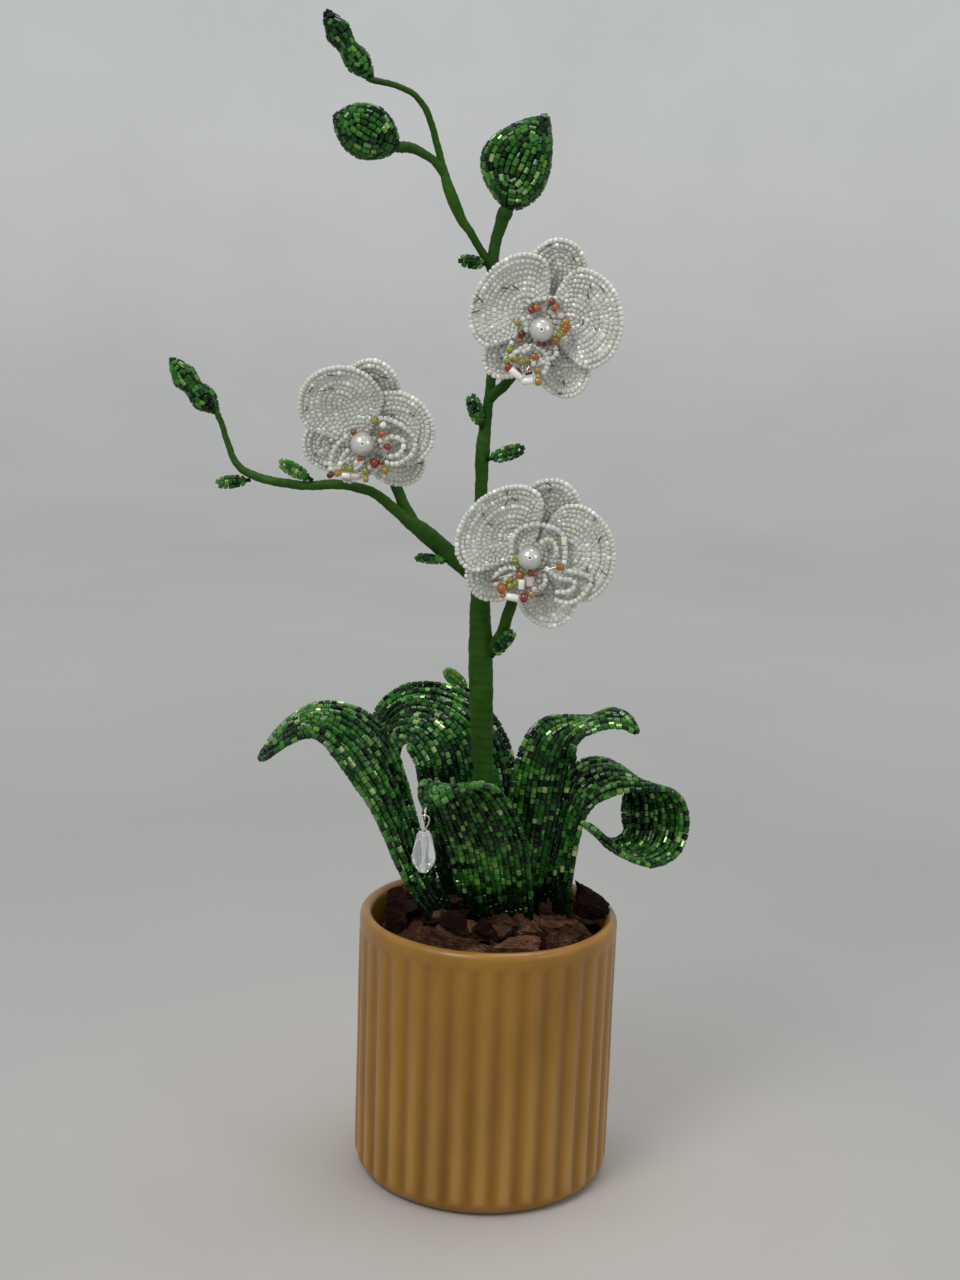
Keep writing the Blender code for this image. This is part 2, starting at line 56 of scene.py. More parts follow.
STEMS = {
    "main_stem": [(-2, 0, 59, 3.4), (-2.5, 0, 97, 3.5), (-3.5, 0, 142, 3.5), (-4.5, 0, 157, 3.8),
                  (-6, 0, 185, 4.3), (-7, 0, 207, 3.5), (-7.5, 1, 222, 2.9), (-8, 2, 245, 2.2),
                  (-8, 2, 260, 2.5), (-7, 1, 272, 1.8), (-6, 0, 284, 1.7), (-5.5, 2, 297, 1.8),
                  (-6, 3, 310, 1.9), (-6.8, 2.5, 323, 2.0), (-6, 2.5, 330, 1.9), (-4.4, 1, 336, 2.2),
                  (-3.2, 0, 339.4, 2.5)],
    "left_branch": [(-15.2, -2, 221.6, 2.9), (-21.5, -3, 227, 3.1), (-27, -4, 231.5, 3.0),
                    (-33, -5, 236, 2.3), (-38, -5.5, 240, 1.9), (-44, -6, 244.5, 1.7), (-51, -6, 246.6, 1.7),
                    (-58, -6, 247.2, 1.7), (-66, -5, 246.3, 1.6), (-73, -4, 246.5, 1.6), (-82, -2, 247.6, 1.5),
                    (-88.5, 0, 249.6, 1.4), (-92.5, 1, 253, 1.2), (-95, 2, 258.5, 1.1), (-97.3, 3, 265, 1.0),
                    (-98.8, 3, 268.6, 1.0)],
    "left_flower_stalk": [(-36, -3.4, 244.6, 1.9), (-38.6, -3, 250.5, 2.0), (-42, -3, 256, 1.9),
                          (-45.8, -4, 260, 1.7), (-48, -6.6, 262, 1.5)],
    "lower_flower_stalk": [(0.9, -3.4, 197.5, 2.0), (3, -7, 206, 2.0), (6, -11, 216, 1.9), (9, -15, 225, 1.7),
                           (9.8, -18.4, 229, 1.5)],
    "upper_flower_stalk": [(-1.8, -4, 282, 1.8), (0.6, -7, 285.4, 1.8), (4.5, -9, 291, 1.8),
                           (8.5, -10, 299, 1.6), (10.9, -11.2, 304.2, 1.4)],
    "top_left_branch": [(-11.2, 0.4, 326.8, 1.3), (-14.8, -1, 332.3, 1.4), (-18, -2, 336.7, 1.7),
                        (-20.7, -3, 342.4, 2.0), (-23, -3, 348, 1.7), (-24.6, -3, 353.5, 1.3),
                        (-26.6, -3, 360, 1.2), (-28.4, -3, 366, 1.1), (-30.8, -4, 371.3, 1.1),
                        (-34, -5, 375, 1.0), (-38.4, -6, 377.2, 1.0), (-43, -7, 378.4, 1.0),
                        (-47.6, -7.9, 379, 1.0)],
    "round_bud_stalk": [(-28.4, -5, 355.4, 1.4), (-32.6, -6, 357.6, 1.6), (-36, -7, 358.5, 1.7),
                        (-38.8, -8, 358.3, 1.6)],
}
# where each side stem leaves its parent, under the tape
FORKS = {
    "left_branch": [(-7.4, 0.6, 213.5, 2.2), (-10.8, -1, 217.6, 2.8)],
    "left_flower_stalk": [(-29, -4.6, 233.2, 1.8), (-33.2, -4, 239, 2.0)],
    "lower_flower_stalk": [(-5.4, -0.2, 186, 1.6), (-2.2, -1.4, 192, 2.1)],
    "upper_flower_stalk": [(-6, 0, 277, 1.4), (-4.4, -2, 279.6, 1.8)],
    "top_left_branch": [(-6.7, 2.4, 318, 1.2), (-8.4, 1.4, 322.6, 1.5)],
    "round_bud_stalk": [(-23.4, -3, 349.4, 1.2), (-25.4, -3.8, 352.6, 1.5)],
}

LEAVES = {
    "leaf_left": ([(-14.8, -6, 92, 0.36, 0.92, 0), (-17.4, -6.5, 99, 0.36, 0.92, 0),
                   (-22.4, -7, 108, 0.35, 0.92, 0), (-27, -8, 119, 0.34, 0.93, 0.02),
                   (-31.4, -9, 132, 0.36, 0.92, 0.06), (-36, -10, 143, 0.44, 0.87, 0.14),
                   (-42.2, -11, 154, 0.5, 0.78, 0.34), (-49.4, -12, 162.3, 0.38, 0.82, 0.44),
                   (-58, -13, 167, 0.14, 0.92, 0.36), (-66, -14, 167, 0, 0.95, 0.31),
                   (-74, -15, 161.5, -0.1, 0.94, 0.3), (-81, -16, 152, -0.2, 0.93, 0.25)], 13.5, -0.2, 0.6),
    "leaf_back": ([(-3, 13, 92, 1, .05, 0), (-3, 13.5, 99, 1, .05, 0), (-5, 15, 113, 1, .05, .02),
                   (-7.5, 17, 130, 1, .12, .06), (-10.5, 19.5, 146, .93, .3, .2), (-16, 23, 155, .72, .5, .48),
                   (-24.5, 27.5, 159.5, .25, .76, .6), (-32.5, 30.2, 159, -.05, .78, .62), (-38.3, 31.3, 154.6, -.3, .74, .62),
                   (-40, 30.5, 147.2, -.6, .66, .42), (-37.6, 28.5, 139.5, -.8, .55, .2)], 18.5, -0.12, 0.84),
    "leaf_front": ([(4, -13, 92, 1, -.08, 0), (3, -14.5, 99, 1, -.08, 0), (1, -17.5, 112, 1, -.08, 0),
                    (-2, -20.5, 126, 1, -.1, 0), (-7, -23, 138, 1, -.12, .03), (-11.5, -27.5, 147, .96, -.25, .08),
                    (-15.5, -34, 150.5, .88, -.45, .1), (-19.5, -40, 149, .8, -.58, .08),
                    (-22.6, -44, 145.6, .8, -.6, 0)], 14.0, -0.14, 0.84),
    "leaf_right_up": ([(12.5, 3.5, 92, 1, 0, 0), (12.8, 3.5, 99, 1, 0, 0), (14, 3, 117, 1, 0, 0),
                       (15.8, 2.5, 135, 1, -0.05, 0), (17.6, 2, 149, 0.99, -0.1, -0.1), (20.6, 2, 158, 0.86, -0.42, -0.28),
                       (26, 2, 163.2, 0.45, -0.86, -0.16), (33, 1.7, 166, 0.12, -0.98, -0.06), (39.5, 1, 168.2, 0.02, -0.95, -0.28),
                       (45.5, 0, 167, -0.05, -0.9, -0.42), (50, -1, 162.6, -0.1, -0.9, -0.42)], 10.5, -0.2, 0.72),
    "leaf_right_curl": ([(24.5, 1.5, 92, 0.3, -0.95, 0), (24.5, 2, 99, 0.3, -0.95, 0), (25, 3.5, 114, 0.3, -0.95, 0),
                         (27.2, 5.5, 130, 0.25, -0.96, -0.1), (31.5, 7.5, 140.5, 0.18, -0.92, -0.32), (39, 9.5, 145, 0.25, -0.92, -0.26),
                         (48.5, 11.5, 144, 0.4, -0.88, -0.16), (57, 13, 138, 0.74, -0.66, -0.08), (59.3, 12.5, 128, 0.92, -0.4, 0),
                         (57.8, 10, 119.7, 0.84, -0.52, -0.12), (51.5, 5, 117, 0.6, -0.74, -0.2), (44.5, -0.5, 119.6, 0.44, -0.86, -0.1),
                         (38, -6, 126.2, 0.5, -0.8, -0.1), (32.2, -11, 133, 0.55, -0.78, -0.1)], 13.5, -0.12, 0.66),
}

LEAFLETS = {
    "leaflet_top": ((-10.6, -0.6, 322.2), (-18.4, -2, 323.3), 2.4),
    "leaflet_upper_left": ((-9.4, -1, 269.6), (-12.8, -3, 279), 2.8),
    "leaflet_upper_right": ((-4.2, -0.6, 257.6), (6.4, -3, 261.6), 2.7),
    "leaflet_lower_right": ((-1.0, -5.4, 191.0), (5, -8, 199.5), 2.5),
    "leaflet_lower_left": ((-11.6, -1.6, 177.4), (-18.6, -5, 184.3), 2.6),
    "leaflet_branch_under": ((-20.0, -4.2, 222.2), (-30, -7, 223.4), 1.9),
    "leaflet_branch_mid": ((-67.2, -6.6, 249.4), (-76.6, -8.4, 254.6), 2.5),
    "leaflet_branch_end": ((-89.4, 0.2, 246.6), (-98.6, -2, 245.6), 2.4),
}

BUDS = {
    "bud_top": ((-48.2, -8.1, 379.5), (-63.2, -10, 399.6), 4.7, 3.8, "double", 0.6),
    "bud_round": ((-39.3, -8.1, 358.4), (-59.4, -10, 367.2), 9.0, 6.6, "round", 0),
    "bud_large": ((-2.9, -0.1, 340.4), (9.2, -2, 370.4), 12.6, 7.8, "drop", 3.2),
    "bud_left": ((-99.0, 3.0, 269.2), (-114.8, 3, 286.4), 4.9, 3.9, "double", 0.4),
}

FLOWERS = {
    "flower_top": dict(centre=(11.0, -16.0, 304.8), face=(-.10, -1, -.14), pearl=(-0.4, -1.5, 10.0),
                       back=dict(sepal_top=(77, 28.5, 10.5), sepal_right=(-66, 27, 10), sepal_left=(224, 26, 9)),
                       front=dict(petal_left=(146, 25, 17.5), petal_right=(8, 26.5, 16.5)), lip=(-6, 1)),
    "flower_left": dict(centre=(-48.3, -10.0, 262.8), face=(-.05, -1, -.2), pearl=(1.1, 1.7, 10.0),
                        back=dict(sepal_top=(80, 31, 11), sepal_right=(-25, 23.5, 10), sepal_left=(190, 21, 10)),
                        front=dict(petal_left=(113, 30, 14.5), petal_right=(27, 27, 13.5)), lip=(-5, 0)),
    "flower_low": dict(centre=(9.8, -22.0, 229.4), face=(-.08, -1, -.12), pearl=(-0.3, 0.1, 10.0),
                       back=dict(sepal_top=(70, 28, 11), sepal_right=(-68, 27, 11), sepal_left=(214, 25.5, 10.5)),
                       front=dict(petal_left=(139, 26.5, 18), petal_right=(6, 28.5, 17)), lip=(-4, 1)),
}

BARK = {
    "bark_left": ((-32.6, -12.0, 95.4), (8.5, 10, 22), 20),
    "bark_front_left": ((-14.5, -30, 91.0), (21, 12, 12.5), -18),
    "bark_front_mid": ((6.5, -32.5, 91.4), (18, 10, 13.5), 4),
    "bark_front_right": ((27, -23.2, 93.0), (12, 10, 17), 38),
    "bark_right": ((36.6, -0.5, 98.6), (11, 13, 13.5), 12),
    "bark_back_left": ((-25, 22, 89.8), (20, 13, 10.5), 42),
    "bark_back": ((-1, 32, 89.4), (20, 11, 9.5), -4),
    "bark_back_right": ((24, 24.5, 89.8), (19, 12, 10.5), -44),
}

# ---- coloured beads round each pearl: right, up and out from the pearl's centre,
# in millimetres. Each entry: kind, colour, radius, length or end point
ACCENTS = {
    "flower_top": [
        ("round", "red", 1.15, (-3.7, 5.8, -2.2)), ("round", "orange", 1.15, (-1.9, 6.6, -2.2)),
        ("round", "red", 1.1, (3.0, 8.8, -2.6)), ("round", "orange", 1.2, (4.0, 6.9, -2.2)),
        ("round", "blush", 1.0, (6.1, 4.5, -1.2)), ("round", "lime", 1.05, (7.0, 2.0, -1.0)),
        ("round", "orange", 1.2, (7.2, 0.0, -0.8)), ("round", "lime", 1.1, (5.8, -1.7, -0.6)),
        ("round", "lime", 1.0, (4.5, -3.1, -0.4)), ("tube", "red", 0.75, (3.7, -3.9, 0.2), (2.2, -4.4, 0.3)),
        ("round", "gold", 1.25, (7.6, 2.6, -1.0)), ("round", "orange", 1.2, (7.9, 1.0, -1.0)),
        ("round", "lime", 1.2, (6.7, -0.9, -0.8)), ("round", "orange", 0.9, (5.2, -3.2, -0.2)),
        ("tube", "dark_red", 0.75, (1.9, -4.6, 0.3), (0.4, -4.8, 0.3)),
        ("tube", "red", 0.7, (0.1, -4.8, 0.3), (-1.4, -4.6, 0.2)),
        ("round", "dark_red", 1.25, (-6.5, -2.1, -1.5)), ("round", "orange", 0.85, (-6.8, -4.0, -1.2)),
        ("round", "lime", 0.9, (-8.2, 1.4, -2.0)),
        ("round", "lime", 1.15, (-10.3, -7.0, -0.8)), ("round", "lime", 1.2, (-10.9, -10.6, 0.2)),
        ("round", "lime", 1.0, (-8.3, -9.8, 0)), ("round", "lime", 1.1, (-6.0, -10.6, 0.2)),
        ("round", "gold", 0.95, (-4.4, -10.0, 0)), ("round", "red", 1.3, (-10.3, -12.6, 1.0)),
        ("round", "orange", 1.15, (-2.0, -8.8, 0)), ("tube", "dark_red", 0.8, (-8.2, -13.0, 0.8), (-6.0, -14.2, 0.8)),
        ("tube", "dark_red", 0.85, (-4.8, -14.3, 0.8), (-2.6, -13.6, 0.8)), ("round", "gold", 1.1, (-1.0, -13.2, 0.6)),
        ("tube", "white", 1.2, (-9.6, -13.0, 1.4), (-5.9, -16.0, 1.6)),
        ("tube", "white", 1.25, (-5.7, -16.9, 1.6), (-1.9, -16.3, 1.6)), ("round", "gold", 1.3, (-0.4, -16.6, 1.6)),
        ("round", "blush", 0.9, (-9.6, -9.0, 0)), ("round", "clear", 1.0, (-2.2, -11.2, 0.2)),
    ],
    "flower_left": [
        ("round", "lime", 1.1, (3.6, 7.5, -2.0)), ("round", "white", 1.1, (6.6, 6.2, -2.0)),
        ("round", "rust", 1.1, (-3.0, 3.3, -1.8)), ("round", "orange", 1.1, (6.2, 3.3, -1.4)),
        ("round", "red", 1.1, (8.2, -1.0, -1.2)), ("round", "orange", 1.1, (-0.7, -4.7, 0)),
        ("round", "red", 1.5, (4.1, -6.3, 0.2)), ("round", "rust", 1.0, (6.4, -5.8, 0)),
        ("round", "gold", 1.15, (7.6, -8.6, 0)), ("round", "dark_red", 1.15, (-10.6, -10.9, 0.6)),
        ("round", "gold", 1.1, (-8.2, -10.3, 0.6)), ("tube", "white", 1.0, (-6.8, -10.8, 0.8), (-4.0, -11.0, 0.8)),
        ("tube", "blush", 1.0, (-3.7, -11.0, 0.8), (-1.0, -11.0, 0.8)), ("round", "lime", 1.1, (-4.0, -8.6, 0.2)),
        ("round", "lime", 1.1, (1.0, -9.2, 0.2)), ("round", "lime", 1.1, (1.2, -11.8, 0.6)),
        ("round", "clear", 1.0, (-2.0, -6.6, 0)), ("round", "lime", 0.9, (-6.4, -8.6, 0.2)),
        ("round", "blush", 1.0, (2.6, -7.9, 0)),
    ],
    "flower_low": [
        ("tube", "white", 1.0, (10.9, 7.3, -2.0), (10.9, 4.6, -2.0)), ("round", "gold", 0.8, (9.4, 5.2, -1.8)),
        ("tube", "orange", 1.0, (8.7, -2.8, -0.8), (11.3, -2.8, -0.8)),
        ("round", "lime", 1.1, (-4.6, -1.3, -0.6)), ("round", "lime", 0.9, (-4.0, -3.0, -0.6)),
        ("round", "orange", 1.25, (-3.1, -5.9, 0)), ("round", "rust", 1.1, (0.4, -5.0, 0)),
        ("round", "orange", 0.9, (2.0, -5.2, 0)), ("round", "rust", 0.95, (-10.9, -7.7, 0)),
        ("round", "blush", 0.95, (-10.8, -9.4, 0.3)), ("round", "orange", 1.65, (-8.8, -10.6, 0.8)),
        ("round", "lime", 1.2, (-6.1, -9.8, 0.4)), ("round", "lime", 1.0, (-6.4, -7.6, 0.2)),
        ("round", "lime", 0.95, (-4.6, -8.8, 0.2)), ("tube", "white", 1.3, (-7.4, -13.0, 1.4), (-3.1, -13.6, 1.4)),
        ("round", "red", 1.45, (-1.3, -13.2, 1.4)), ("round", "gold", 1.1, (1.1, -12.0, 1.0)),
        ("round", "blush", 1.1, (1.9, -10.3, 0.8)), ("tube", "mauve", 0.9, (2.0, -9.4, 0.6), (1.7, -7.8, 0.4)),
        ("tube", "white", 1.15, (-2.4, -7.2, 0.4), (-2.4, -10.6, 0.8)),
        ("tube", "blush", 1.35, (0.3, -6.2, 0.2), (0.5, -9.4, 0.6)), ("round", "gold", 0.9, (-8.4, -12.8, 1.2)),
    ],
}
# threads of clear beads that stand round the pearl: points on the thread
HOODS = {
    "flower_top": [[(-9.5, -4.5, -2.5), (-10.8, -8, -1.5), (-11.4, -11.6, -.4), (-9.8, -14, .6)],
                   [(-1.4, -5.6, -.5), (1.6, -8, -.4), (2.4, -11.2, 0), (1.0, -14.6, .8)],
                   [(-3.4, -5.8, -.8), (-4.8, -7.2, -.6), (-7.6, -7.6, -.6), (-9.2, -8.2, -.6)],
                   [(-6.8, 3.4, -2.4), (-5.2, 1.2, -2.0), (-5.0, -1.6, -1.6)],
                   [(-5.2, 7.8, -3), (0, 9.4, -3.4), (4.8, 9.8, -3.2)]],
    "flower_left": [[(5.0, 8.2, -2.6), (8.6, 8.0, -2.6), (13.6, 5.6, -2.2), (17.4, 1.4, -2), (16.0, -3.6, -1.4),
                     (11.6, -6.6, -.8), (7.2, -6.2, -.6)],
                    [(5.0, 0.4, -2.0), (9.8, 2.2, -2.2), (13.6, 0.4, -2), (12.0, -3.4, -1.4), (8.4, -4.4, -1)],
                    [(-5.0, 2.2, -2), (-8.8, -1.6, -1.8), (-10.8, -6.4, -1), (-10.4, -9.8, 0)],
                    [(-4.4, -2.2, -1), (-7.0, -5.6, -.8), (-7.4, -9.4, 0)]],
    "flower_low": [[(-6.1, 0.5, -1.8), (-6.3, 5.4, -2.2), (-4.0, 8.8, -2.6), (0, 10.5, -2.8), (3.9, 10.6, -2.8),
                    (7.9, 9.7, -2.6), (10.9, 7.4, -2.4)],
                   [(11.2, 4.4, -2.2), (11.4, 0.5, -2.0), (11.2, -2.0, -1.8)],
                   [(9.0, -4.4, -1.6), (13.6, -4.4, -1.8), (20.1, -6.2, -1.6), (18.8, -10.9, -1.0), (14, -14.8, -.4),
                    (8.4, -14.0, -.2)],
                   [(5.0, -3.2, -1), (9.6, -6.6, -1.2), (14.8, -7.4, -1.2), (13.8, -10.6, -.8), (8.6, -11.4, -.4)],
                   [(-4.2, -3.8, -.8), (-7.9, -4.2, -.8), (-10.5, -5.9, -.4), (-11.6, -8.2, 0)],
                   [(2.8, 4.4, -2.2), (5.8, 6.0, -2.6), (8.4, 4.0, -2.4), (8.4, 0.4, -2.2)]],
}


# =================================================================================
# materials
# =================================================================================

def principled(name, **sockets):
    mat = bpy.data.materials.new(name)
    mat.use_nodes = True
    p = mat.node_tree.nodes["Principled BSDF"]
    for key, value in sockets.items():
        s = p.inputs[key.replace("_", " ")]
        s.default_value = (*value, 1) if isinstance(value, tuple) and len(value) == 3 else value
    return mat


def glass(name, rgb, rough=0.08, clear=0.35, ior=1.5, coat=0.0):
    return principled(name, Base_Color=rgb, Roughness=rough, Transmission_Weight=clear, IOR=ior, Coat_Weight=coat,
                      Coat_Roughness=0.05)


GREENS = [
    glass("bead_green_deep", (0.0014, 0.0085, 0.0016), 0.09, 0.08),
    glass("bead_green_dark", (0.0052, 0.031, 0.0045), 0.09, 0.10),
    glass("bead_green_mid", (0.0170, 0.092, 0.0120), 0.08, 0.12),
    glass("bead_green_fresh", (0.046, 0.180, 0.023), 0.08, 0.12),
    glass("bead_green_lime", (0.120, 0.255, 0.032), 0.07, 0.12),
    principled("bead_green_lined", Base_Color=(0.135, 0.285, 0.085), Metallic=0.70, Roughness=0.22),
    principled("bead_green_pale", Base_Color=(0.29, 0.41, 0.15), Metallic=0.35, Roughness=0.18),
    principled("bead_wire", Base_Color=(0.035, 0.05, 0.03), Metallic=1.0, Roughness=0.35),
]
for mat_ in GREENS[:5]:
    mat_.node_tree.nodes["Principled BSDF"].inputs["Specular IOR Level"].default_value = 0.26
CLEARS = [
    glass("bead_clear", (0.80, 0.81, 0.74), 0.14, 0.40, 1.40, coat=0.15),
    glass("bead_milky", (0.75, 0.76, 0.68), 0.24, 0.22, 1.40),
    glass("bead_frost", (0.86, 0.87, 0.80), 0.26, 0.30, 1.40, coat=0.1),
    # near-white beads: partly white glass, partly painted glints scattered over the petals
    glass("bead_white_and_glint", (0.95, 0.95, 0.90), 0.12, 0.15, 1.45, coat=0.5),
    principled("petal_wire", Base_Color=(0.60, 0.60, 0.55), Metallic=1.0, Roughness=0.35),
    principled("petal_wire_dark", Base_Color=(0.05, 0.055, 0.05), Metallic=0.8, Roughness=0.45),
    # a pale sheet that paints light into the gaps between the petal beads
    principled("petal_gap_light", Base_Color=(0.66, 0.67, 0.60), Roughness=0.45),
    principled("bead_clear_lined", Base_Color=(0.84, 0.84, 0.79), Metallic=0.40, Roughness=0.28),
]
ACCENT_MATS = {
    "red": glass("bead_red", (0.30, 0.018, 0.010), 0.08, 0.30, coat=0.6),
    "dark_red": glass("bead_dark_red", (0.125, 0.010, 0.008), 0.08, 0.30, coat=0.5),
    "orange": glass("bead_orange", (0.47, 0.125, 0.010), 0.08, 0.35, coat=0.6),
    "rust": glass("bead_rust", (0.24, 0.075, 0.015), 0.10, 0.3, coat=0.4),
    "lime": glass("bead_lime", (0.36, 0.36, 0.020), 0.08, 0.40, coat=0.6),
    "gold": glass("bead_gold", (0.44, 0.25, 0.025), 0.10, 0.30, coat=0.6),
    "white": glass("bead_white", (0.80, 0.79, 0.71), 0.16, 0.05, coat=0.4),
    "mauve": glass("bead_mauve", (0.42, 0.27, 0.32), 0.12, 0.3, coat=0.4),
    "blush": glass("bead_blush", (0.82, 0.70, 0.66), 0.10, 0.40, 1.42),
    "clear": CLEARS[0],
}


# the sweep's painted light and shade by distance from the pot, in metres: lighter near the pot and up the wall, darker
# between
STAGE_LIGHT_TONES = [(0.0, (0.450, 0.413, 0.383)), (0.10, (0.405, 0.385, 0.367)), (0.20, (0.366, 0.366, 0.358)),
               (0.45, (0.365, 0.368, 0.358)), (0.97, (0.50, 0.503, 0.490)), (1.6, (0.575, 0.580, 0.568)),
               (2.1, (0.635, 0.64, 0.63)), (2.32, (0.74, 0.75, 0.74)), (2.5, (0.84, 0.855, 0.85))]


class Nodes:
    """Short calls for building a node material."""

    def __init__(self, name):
        self.mat = bpy.data.materials.new(name)
        self.mat.use_nodes = True
        self.t = self.mat.node_tree
        self.p = self.t.nodes["Principled BSDF"]

    def new(self, kind, **props):
        n = self.t.nodes.new(kind)
        for k, v in props.items():
            if k.startswith("i_"):
                n.inputs[k[2:].replace("_", " ")].default_value = v
            else:
                setattr(n, k, v)
        return n

    def link(self, a, out, b, inp):
        self.t.links.new(a.outputs[out], b.inputs[inp])

    def coords(self, scale=(1, 1, 1)):
        tc = self.new("ShaderNodeTexCoord")
        mp = self.new("ShaderNodeMapping")
        mp.inputs["Scale"].default_value = scale
        self.link(tc, "Object", mp, "Vector")
        return mp

    def noise(self, src, scale, detail=4.0, rough=0.55, distortion=0.0):
        n = self.new("ShaderNodeTexNoise")
        n.inputs["Scale"].default_value = scale
        n.inputs["Detail"].default_value = detail
        n.inputs["Roughness"].default_value = rough
        n.inputs["Distortion"].default_value = distortion
        self.link(src, "Vector", n, "Vector")
        return n

    def ramp(self, src, out, stops):
        r = self.new("ShaderNodeValToRGB")
        e = r.color_ramp.elements
        while len(e) < len(stops):
            e.new(0.5)
        for el, (pos, col) in zip(e, stops):
            el.position = pos
            el.color = (*col, 1)
        self.link(src, out, r, "Fac")
        return r

    def mix(self, fac, fac_out, a, a_out, b, b_out, mode='MIX', amount=None):
        m = self.new("ShaderNodeMix", data_type='RGBA', blend_type=mode)
        if amount is not None:
            m.inputs[0].default_value = amount
        else:
            self.link(fac, fac_out, m, 0)
        self.link(a, a_out, m, 6)
        self.link(b, b_out, m, 7)
        return m

    def bump(self, src, out, strength, distance):
        b = self.new("ShaderNodeBump")
        b.inputs["Strength"].default_value = strength
        b.inputs["Distance"].default_value = distance
        self.link(src, out, b, "Height")
        self.link(b, "Normal", self.p, "Normal")
        return b


def glaze_material():
    m = Nodes("ochre_glaze")
    # colour by rib: grooves darker where the glaze pools, crests lighter where it runs thin; the lightest stop is a
    # painted highlight on the lower crests
    at = m.new("ShaderNodeAttribute", attribute_name="rib")
    base = m.ramp(at, "Fac", [(0.0, (0.184, 0.078, 0.0034)), (0.5, (0.244, 0.108, 0.0058)),
                              (0.78, (0.296, 0.141, 0.0145)), (1.0, (0.378, 0.205, 0.044))])
    mp = m.coords((1, 1, 0.45))
    big = m.noise(mp, 45.0, 4.0, 0.6)
    tone = m.ramp(big, "Fac", [(0.30, (0.80, 0.77, 0.72)), (0.55, (1.0, 1.0, 1.0)), (0.78, (1.12, 1.10, 1.06))])
    mul = m.mix(None, None, base, "Color", tone, "Color", 'MULTIPLY', 1.0)
    fine = m.noise(m.coords(), 900.0, 3.0, 0.6)
    speck = m.ramp(fine, "Fac", [(0.30, (0.82, 0.80, 0.76)), (0.40, (1, 1, 1))])
    mul2 = m.mix(None, None, mul, 2, speck, "Color", 'MULTIPLY', 0.55)
    m.link(mul2, 2, m.p, "Base Color")
    rr = m.ramp(big, "Fac", [(0.3, (0.40, 0.40, 0.40)), (0.7, (0.27, 0.27, 0.27))])
    m.link(rr, "Color", m.p, "Roughness")
    m.p.inputs["Specular IOR Level"].default_value = 0.42
    m.p.inputs["Coat Weight"].default_value = 0.16
    m.p.inputs["Coat Roughness"].default_value = 0.14
    m.bump(m.noise(m.coords(), 160.0, 5.0, 0.6), "Fac", 0.25, 0.0006)
    return m.mat


def tape_material():
    m = Nodes("green_floral_tape")
    mp = m.coords()
    big = m.noise(mp, 60.0, 4.0, 0.6)
    col = m.ramp(big, "Fac", [(0.25, (0.0070, 0.034, 0.0008)), (0.50, (0.0140, 0.058, 0.0012)),
                              (0.75, (0.032, 0.089, 0.0036))])
    # painted shade at the foot of each tape step and a painted highlight along its raised edge
    at = m.new("ShaderNodeAttribute", attribute_name="tape_edge_shade_and_highlight")
    edge = m.ramp(at, "Fac", [(0.0, (0.60, 0.62, 0.55)), (0.25, (1, 1, 1)), (1.0, (1.18, 1.16, 1.1))])
    mul = m.mix(None, None, col, "Color", edge, "Color", 'MULTIPLY', 0.9)
    m.link(mul, 2, m.p, "Base Color")
    m.p.inputs["Roughness"].default_value = 0.62
    m.p.inputs["Specular IOR Level"].default_value = 0.18
    m.bump(m.noise(m.coords((1, 1, 2.5)), 700.0, 4.0, 0.65), "Fac", 0.5, 0.00025)
    return m.mat


def bark_material(name, dark, mid, light):
    m = Nodes(name)
    mp = m.coords((1, 1, 1.8))
    n1 = m.noise(mp, 180.0, 6.0, 0.65, 0.6)
    col = m.ramp(n1, "Fac", [(0.28, dark), (0.52, mid), (0.78, light)])
    # the per-vertex value paints shade in the splits and under the shelves and a highlight on the ridges
    at = m.new("ShaderNodeAttribute", attribute_name="crag_shade")
    shade = m.ramp(at, "Fac", [(0.0, (0.30, 0.26, 0.24)), (0.5, (0.95, 0.92, 0.90)), (1.0, (1.35, 1.25, 1.15))])
    mul = m.mix(None, None, col, "Color", shade, "Color", 'MULTIPLY', 1.0)
    m.link(mul, 2, m.p, "Base Color")
    rr = m.ramp(n1, "Fac", [(0.3, (0.9, 0.9, 0.9)), (0.7, (0.62, 0.62, 0.62))])
    m.link(rr, "Color", m.p, "Roughness")
    m.p.inputs["Specular IOR Level"].default_value = 0.10
    m.bump(m.noise(m.coords((1, 1, 2.4)), 330.0, 7.0, 0.72, 0.8), "Fac", 1.0, 0.0012)
    return m.mat


def plaster_material():
    m = Nodes("setting_plaster")
    n1 = m.noise(m.coords(), 120.0, 6.0, 0.6)
    col = m.ramp(n1, "Fac", [(0.3, (0.34, 0.31, 0.27)), (0.7, (0.50, 0.47, 0.41))])
    m.link(col, "Color", m.p, "Base Color")
    m.p.inputs["Roughness"].default_value = 0.9
    m.bump(m.noise(m.coords(), 500.0, 6.0, 0.7), "Fac", 0.6, 0.0008)
    return m.mat


def pearl_material():
    m = Nodes("imitation_pearl")
    lw = m.new("ShaderNodeLayerWeight")
    lw.inputs["Blend"].default_value = 0.35
    body = m.ramp(lw, "Facing", [(0.0, (0.60, 0.585, 0.555)), (0.45, (0.52, 0.505, 0.480)), (0.9, (0.36, 0.36, 0.345))])
    n1 = m.noise(m.coords(), 350.0, 3.0, 0.5)
    tint = m.ramp(n1, "Fac", [(0.35, (0.95, 0.97, 0.96)), (0.65, (1.0, 0.98, 0.96))])
    mul = m.mix(None, None, body, "Color", tint, "Color", 'MULTIPLY', 1.0)
    m.link(mul, 2, m.p, "Base Color")
    m.p.inputs["Metallic"].default_value = 0.30
    m.p.inputs["Roughness"].default_value = 0.18
    m.p.inputs["Coat Weight"].default_value = 1.0
    m.p.inputs["Coat Roughness"].default_value = 0.03
    m.p.inputs["Subsurface Weight"].default_value = 0.0
    m.p.inputs["Sheen Weight"].default_value = 0.15
    return m.mat


